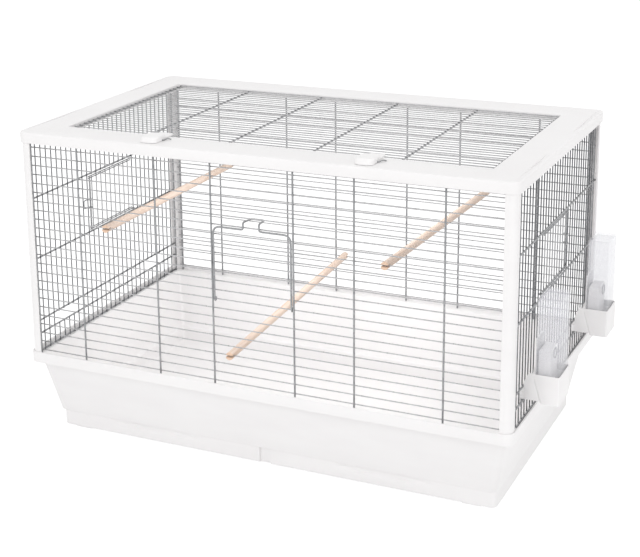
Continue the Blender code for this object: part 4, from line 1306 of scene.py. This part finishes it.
@dataclass
class Perches(SubAssembly):
    """Three round wooden perches, slotted at their ends for the wires.

    Attributes:
        past: How far a perch's ends pass the wires that it sits on.
        places: Name, front row and place, back row and place of each perch.
    """

    sizes: CageSizes
    radius: float = 0.006
    past: float = 0.0055
    slot_height: float = 0.0034
    slot_depth: float = 0.0085
    sides: int = 28
    prong_points: int = 15
    overlap: float = 0.0005
    ease: float = 0.0006
    end_size: float = 0.93
    places: tuple[tuple[str, int, float, int, float], ...] = (
        ("left_perch", 15, -0.249, 14, -0.275),
        ("middle_perch", 3, -0.040, 4, -0.050),
        ("right_perch", 15, 0.208, 14, 0.208),
    )

    def build(self) -> list[bpy.types.Object]:
        """Build the three perches."""
        made = []
        for name, front_row, front_x, back_row, back_x in self.places:
            front = np.array([front_x, -self.sizes.wall_y, self.sizes.row(front_row)])
            back = np.array([back_x, self.sizes.wall_y, self.sizes.row(back_row)])
            made.append(self.piece(f"{name}_rod", self.rod(front, back), WOOD, "cage", (name,)))
        return made

    def rod(self, front: np.ndarray, back: np.ndarray) -> Surface:
        """One rod between two wires: a round body and two half-round prongs an end.

        The rod's frame is along it, level across it, and the third at right angles. A
        prong's section is the part of the circle that lies above or below the slot.
        """
        along = (back - front) / np.linalg.norm(back - front)
        across = np.cross(along, (0.0, 0.0, 1.0))
        across /= np.linalg.norm(across)
        upward = np.cross(across, along)
        length = np.linalg.norm(back - front)
        sunk = self.slot_depth - self.past
        angle = np.linspace(0.0, 2 * math.pi, self.sides, endpoint=False)
        circle = np.stack([np.cos(angle), np.sin(angle)], axis=1) * self.radius
        parts = [self.carried(circle, [sunk, length - sunk], [1.0, 1.0], front, along, across, upward)]
        start = math.asin(self.slot_height / 2 / self.radius)
        half = np.linspace(start, math.pi - start, self.prong_points)
        cap = np.stack([np.cos(half), np.sin(half)], axis=1) * self.radius
        front_places = [-self.past, self.ease - self.past, sunk + self.overlap]
        back_places = [length - sunk - self.overlap, length + self.past - self.ease, length + self.past]
        for sign in (-1, 1):
            section = cap * (1, sign)
            parts.append(self.carried(section, front_places, [self.end_size, 1.0, 1.0], front, along,
                                      across, upward))
            parts.append(self.carried(section, back_places, [1.0, 1.0, self.end_size], front, along,
                                      across, upward))
        return joined(parts)

    @staticmethod
    def carried(section: np.ndarray, places: Sequence[float], sizes: Sequence[float], start: np.ndarray,
                along: np.ndarray, across: np.ndarray, upward: np.ndarray) -> Surface:
        """A flat section carried to places along the rod and scaled at each one."""
        middle = section.mean(axis=0)
        scaled = middle + (section - middle)[None] * np.asarray(sizes)[:, None, None]
        grid = (start + np.asarray(places)[:, None, None] * along
                + scaled[:, :, :1] * across + scaled[:, :, 1:] * upward)
        return grid_surface(grid, False, True)


@dataclass
class Feeders(SubAssembly):
    """Two feeders on the right wall: cup, clear hood and wire ring.

    Attributes:
        cup_inner: Inner side of the cup at its top and at its bottom.
        cup_edges: Reach of the rounding at each row of the cup.
        hood_edges: Reach of the rounding at each row of the hood.
        plate: Inner side, outer side, top and half width of the back plate.
        chute: The same of the chute.
        neck: Inner and outer side of the lip, height of the neck's underside, half width.
        cheek_sides: How far a cheek's two faces lie inside the cup's half width.
        ring: Place outwards, offset along the wall, height and radius of the ring.
    """

    sizes: CageSizes
    half: float = 0.0285
    cup_inner: tuple[float, float] = (0.4050, 0.4185)
    cup_outer: float = 0.4455
    cup_z: tuple[float, float] = (0.162, 0.205)
    cup_radius: float = 0.003
    well_radius: float = 0.0016
    well_gap: float = 0.0008
    cup_edges: tuple[float, ...] = (0.0, 0.0008, 0.0005, 0.0003, 0.0005, 0.0)
    seat_gap: float = 0.0003
    ledge: float = 0.003
    wall: float = 0.0016
    back_x: float = 0.4095
    sink: float = 0.010
    hood_wall: float = 0.0014
    hood_top: float = 0.3175
    hood_radius: float = 0.0022
    hood_inner_radius: float = 0.0010
    hood_edges: tuple[float, ...] = (0.0, 0.0004, 0.0005, 0.0014, 0.0004, 0.0004, 0.0010, 0.0)
    recess_radius: float = 0.0012
    recess: float = 0.002
    roof_margin: float = 0.003
    slide: float = 0.0005
    plate: tuple[float, float, float, float] = (0.4075, 0.4094, 0.256, 0.019)
    plate_sink: float = 0.002
    plate_edge: float = 0.0006
    chute: tuple[float, float, float, float] = (0.4119, 0.4290, 0.2385, 0.019)
    chute_edge: float = 0.001
    neck: tuple[float, float, float, float] = (0.3866, 0.3886, 0.16299, 0.023)
    neck_drop: float = 0.013
    neck_rise: float = 0.010
    wall_gap: float = 0.004111
    cheek_sides: tuple[float, float] = (0.0003, 0.0063)
    cheek_toe: float = 0.012
    cheek_lift: float = 0.004
    cheek_lead: float = 0.005
    cheek_top_lead: float = 0.006
    cheek_shoulder: float = 0.014
    cheek_clear: float = 0.001
    ring: tuple[float, float, float, float] = (0.43342, -0.010, 0.235, 0.0075)

    def build(self) -> list[bpy.types.Object]:
        """Build both feeders."""
        made = []
        for end, sign in FRONT_AND_BACK:
            y = sign * self.sizes.slot_centre
            made.append(self.piece(f"{end}_cup_moulding", self.cup(y), WHITE, f"{end}_cup",
                                   (f"{end}_feeder_cup",)))
            made.append(self.piece(f"{end}_clear_hood", self.hood(y), CLEAR, f"{end}_hood",
                                   (f"{end}_feeder_hood",)))
            x, off_y, z, radius = self.ring
            path = ring_path((x, y + off_y, z), radius, (0, 1, 0), (0, 0, 1), 28)
            made.append(self.piece(f"{end}_ring_wire", tube(path, self.sizes.thin, closed=True), ZINC,
                                   f"{end}_cup", (f"{end}_feeder_ring",)))
        return made

    def cup(self, y: float) -> Surface:
        """Cup with its well, chute, back plate, neck through the wall and cheeks."""
        low, high = self.cup_z
        half = self.half
        inner = self.cup_inner[1]
        seat = high - self.sink - self.seat_gap
        step = self.wall + self.hood_wall + self.slide + self.well_gap

        def row(x_low: float, inset: float, radius: float, z: float) -> tuple[float, ...]:
            return x_low, self.cup_outer - inset, y - half + inset, y + half - inset, radius, z

        rows = [row(inner, 0.0, self.cup_radius, low), row(self.cup_inner[0], 0.0, self.cup_radius, high),
                row(self.back_x, self.wall, self.well_radius, high),
                row(self.back_x, self.wall, self.well_radius, seat),
                row(self.back_x + self.ledge, step, self.well_radius, seat),
                row(inner + self.wall, step, self.well_radius, low + self.wall)]
        shell = loft(rows, self.cup_edges)
        x_in, x_out, plate_top, plate_half = self.plate
        plate = self.block((x_in, x_out, y - plate_half, y + plate_half),
                           (seat - self.plate_sink, plate_top), self.plate_edge)
        x_in, x_out, chute_top, chute_half = self.chute
        chute = self.block((x_in, x_out, y - chute_half, y + chute_half),
                           (low + self.wall / 2, chute_top), self.chute_edge)
        lip_in, lip_out, neck_z, neck_half = self.neck
        neck_low, neck_high = neck_z - self.neck_drop, neck_z + self.neck_rise
        neck = prism([(lip_in, neck_low), (lip_out, neck_low), (lip_out, neck_z), (inner, neck_z),
                      (inner, neck_high), (lip_in, neck_high)], y - neck_half, y + neck_half, Axis.Y)
        clear = self.cheek_clear
        wall_x = self.sizes.side_x + self.wall_gap
        back = self.back_x - self.seat_gap
        cheek = [(wall_x, low + self.cheek_toe), (wall_x + self.cheek_lead, low + self.cheek_lift),
                 (inner - clear, low + self.cheek_lift), (back, seat - clear), (back, high - clear),
                 (wall_x + self.cheek_top_lead, high - clear), (wall_x, high - self.cheek_shoulder)]
        outside, inside = self.cheek_sides
        cheeks = [prism(cheek, *sorted((y + sign * (half - outside), y + sign * (half - inside))), Axis.Y)
                  for sign in (-1, 1)]
        return joined([shell, plate, chute, neck, *cheeks])

    @staticmethod
    def block(plan: tuple[float, float, float, float], levels: tuple[float, float], edge: float) -> Surface:
        """Upright block with rounded upright edges and an eased top."""
        low, high = levels
        return loft([level_row(plan, 0.0, edge, low), level_row(plan, 0.0, edge, high - edge),
                     level_row(plan, edge, edge / 2, high)], edge)

    def hood(self, y: float) -> Surface:
        """Clear hood, open below, with a shallow recess in its top."""
        low_x = self.back_x + self.slide
        high_x = self.cup_outer - self.wall - self.slide
        half = self.half - self.wall - self.slide
        wall = self.hood_wall
        low = self.cup_z[1] - self.sink
        top = self.hood_top

        def row(inset: float, radius: float, z: float) -> tuple[float, ...]:
            return low_x + inset, high_x - inset, y - half + inset, y + half - inset, radius, z

        sunk = top - self.recess
        rows = [row(2 * wall + self.recess, self.hood_inner_radius, sunk),
                row(2 * wall, self.recess_radius, sunk), row(2 * wall, self.recess_radius, top),
                row(0.0, self.hood_radius, top), row(0.0, self.hood_radius, low),
                row(wall, self.hood_inner_radius, low), row(wall, self.hood_inner_radius, sunk - wall),
                row(wall + self.roof_margin, self.hood_inner_radius, sunk - wall)]
        return loft(rows, self.hood_edges)


# Stage


@dataclass(frozen=True)
class StudioCamera:
    """The photograph's viewpoint."""

    place: tuple[float, float, float] = (0.891, -2.068, 1.016)
    yaw: float = 25.895
    pitch: float = 14.602
    roll: float = -0.946
    focal: float = 1470.0
    centre: tuple[float, float] = (265.2, 165.9)
    frame: tuple[float, float] = (640.0, 557.0)
    sensor: float = 36.0
    clip: tuple[float, float] = (0.05, 50.0)

    def build(self) -> bpy.types.Object:
        """Make the camera and give it to the scene.

        The view goes along (-sin yaw cos pitch, cos yaw cos pitch, -sin pitch), and
        roll turns it about that direction.
        """
        yaw, pitch, roll = (math.radians(value) for value in (self.yaw, self.pitch, self.roll))
        forward = Vector((-math.sin(yaw) * math.cos(pitch), math.cos(yaw) * math.cos(pitch),
                          -math.sin(pitch)))
        right = forward.cross(Vector((0, 0, 1))).normalized()
        up = right.cross(forward)
        turned_right = math.cos(roll) * right + math.sin(roll) * up
        turned_up = math.cos(roll) * up - math.sin(roll) * right
        data = bpy.data.cameras.new("photo_camera")
        data.sensor_width = self.sensor
        data.lens = self.focal * data.sensor_width / self.frame[0]
        data.shift_x = (self.frame[0] / 2 - self.centre[0]) / self.frame[0]
        data.shift_y = (self.centre[1] - self.frame[1] / 2) / self.frame[0]
        data.clip_start, data.clip_end = self.clip
        camera = bpy.data.objects.new("photo_camera", data)
        turn = Matrix((turned_right, turned_up, -forward)).transposed().to_4x4()
        camera.matrix_world = Matrix.Translation(self.place) @ turn
        bpy.context.scene.collection.objects.link(camera)
        bpy.context.scene.camera = camera
        return camera


@dataclass(frozen=True)
class Lamp:
    """One soft lamp: where it hangs, its size and its power."""

    name: str
    place: tuple[float, float, float]
    size: float
    power: float
    target: tuple[float, float, float] = (0.0, 0.0, 0.25)

    def build(self) -> bpy.types.Object:
        """Hang the lamp and turn it to its target."""
        data = bpy.data.lights.new(self.name, "AREA")
        data.shape = "SQUARE"
        data.size = self.size
        data.energy = self.power
        lamp = bpy.data.objects.new(self.name, data)
        lamp.visible_camera = False
        lamp.visible_glossy = False
        lamp.location = self.place
        towards = Vector(self.target) - Vector(self.place)
        lamp.rotation_euler = towards.to_track_quat("-Z", "Y").to_euler()
        bpy.context.scene.collection.objects.link(lamp)
        return lamp


@dataclass(frozen=True)
class Studio:
    """White studio: floor, world and lamps."""

    lamps: tuple[Lamp, ...] = (
        Lamp("front_lamp", (-0.5, -3.2, 1.5), size=2.4, power=29.0),
        Lamp("overhead_lamp", (0.2, 0.1, 3.0), size=2.4, power=13.0),
        Lamp("right_lamp", (3.0, -0.8, 1.2), size=2.0, power=16.0),
        Lamp("under_roof_lamp", (-0.02, 0.0, 0.46), size=0.40, power=0.9, target=(-0.02, 0.0, 0.0)),
    )
    floor_reach: float = 12.0
    floor_white: float = 0.92
    floor_dim: float = 0.30
    floor_glow: float = 0.90
    world_light: float = 0.70
    world_white: float = 1.04

    def build(self) -> None:
        """Make the floor, the world's light and the lamps."""
        self.floor()
        self.world()
        for lamp in self.lamps:
            lamp.build()
        scene = bpy.context.scene
        scene.view_settings.view_transform = "Standard"

    @staticmethod
    def seen_white(tree: bpy.types.NodeTree, plain: bpy.types.NodeSocket, seen: bpy.types.NodeSocket,
                   out: bpy.types.NodeSocket) -> None:
        """Show one shader to camera, glossy and transmission rays and another to the rest."""
        path = tree.nodes.new("ShaderNodeLightPath")
        both = tree.nodes.new("ShaderNodeMath")
        both.operation = "MAXIMUM"
        tree.links.new(path.outputs["Is Camera Ray"], both.inputs[0])
        tree.links.new(path.outputs["Is Glossy Ray"], both.inputs[1])
        three = tree.nodes.new("ShaderNodeMath")
        three.operation = "MAXIMUM"
        tree.links.new(both.outputs[0], three.inputs[0])
        tree.links.new(path.outputs["Is Transmission Ray"], three.inputs[1])
        mix = tree.nodes.new("ShaderNodeMixShader")
        tree.links.new(three.outputs[0], mix.inputs["Fac"])
        tree.links.new(plain, mix.inputs[1])
        tree.links.new(seen, mix.inputs[2])
        tree.links.new(mix.outputs[0], out)

    def floor(self) -> bpy.types.Object:
        """Pale floor that keeps a soft shadow and is otherwise seen as white."""
        mesh = bpy.data.meshes.new("studio_floor")
        reach = self.floor_reach
        mesh.from_pydata([(-reach, -reach, 0), (reach, -reach, 0), (reach, reach, 0), (-reach, reach, 0)],
                         [], [(0, 1, 2, 3)])
        floor = bpy.data.objects.new("studio_floor", mesh)
        bpy.context.scene.collection.objects.link(floor)
        material = bpy.data.materials.new("studio_white")
        material.use_nodes = True
        tree = material.node_tree
        tree.nodes.remove(tree.nodes["Principled BSDF"])
        plain = tree.nodes.new("ShaderNodeBsdfDiffuse")
        plain.inputs["Color"].default_value = (*[self.floor_white] * 3, 1.0)
        dim = tree.nodes.new("ShaderNodeBsdfDiffuse")
        dim.inputs["Color"].default_value = (*[self.floor_dim] * 3, 1.0)
        glow = tree.nodes.new("ShaderNodeEmission")
        glow.inputs["Strength"].default_value = self.floor_glow
        seen = tree.nodes.new("ShaderNodeAddShader")
        tree.links.new(dim.outputs[0], seen.inputs[0])
        tree.links.new(glow.outputs[0], seen.inputs[1])
        self.seen_white(tree, plain.outputs[0], seen.outputs[0],
                        tree.nodes["Material Output"].inputs["Surface"])
        mesh.materials.append(material)
        return floor

    def world(self) -> None:
        """World that lights plainly and is seen as white."""
        world = bpy.data.worlds.new("studio_world")
        world.use_nodes = True
        tree = world.node_tree
        plain = tree.nodes["Background"]
        plain.inputs["Color"].default_value = (1.0, 1.0, 1.0, 1.0)
        plain.inputs["Strength"].default_value = self.world_light
        seen = tree.nodes.new("ShaderNodeBackground")
        seen.inputs["Color"].default_value = (1.0, 1.0, 1.0, 1.0)
        seen.inputs["Strength"].default_value = self.world_white
        self.seen_white(tree, plain.outputs[0], seen.outputs[0], tree.nodes["World Output"].inputs["Surface"])
        bpy.context.scene.world = world


def corners(bounds: tuple[Vector, Vector]) -> list[list[float]]:
    """Bounds as plain lists of numbers."""
    return [[float(value) for value in corner] for corner in bounds]


def main() -> None:
    """Build the cage's looks round the frame."""
    logging.basicConfig(level=logging.INFO, format="%(message)s")
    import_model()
    StudioCamera().build()
    Studio().build()
    low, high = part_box("top_frame")
    sizes = CageSizes(middle_x=(low.x + high.x) / 2)
    builders: list[SubAssembly] = [Tray(sizes), RoofFrame(sizes), CornerPosts(sizes), WireWalls(sizes),
                                   FrontDoor(sizes), SideDoors(sizes), RoofLid(sizes), Perches(sizes),
                                   Feeders(sizes)]
    for builder in builders:
        made = builder.build()
        LOG.info("%s: %d pieces", type(builder).__name__, len(made))


if __name__ == "__main__":
    main()
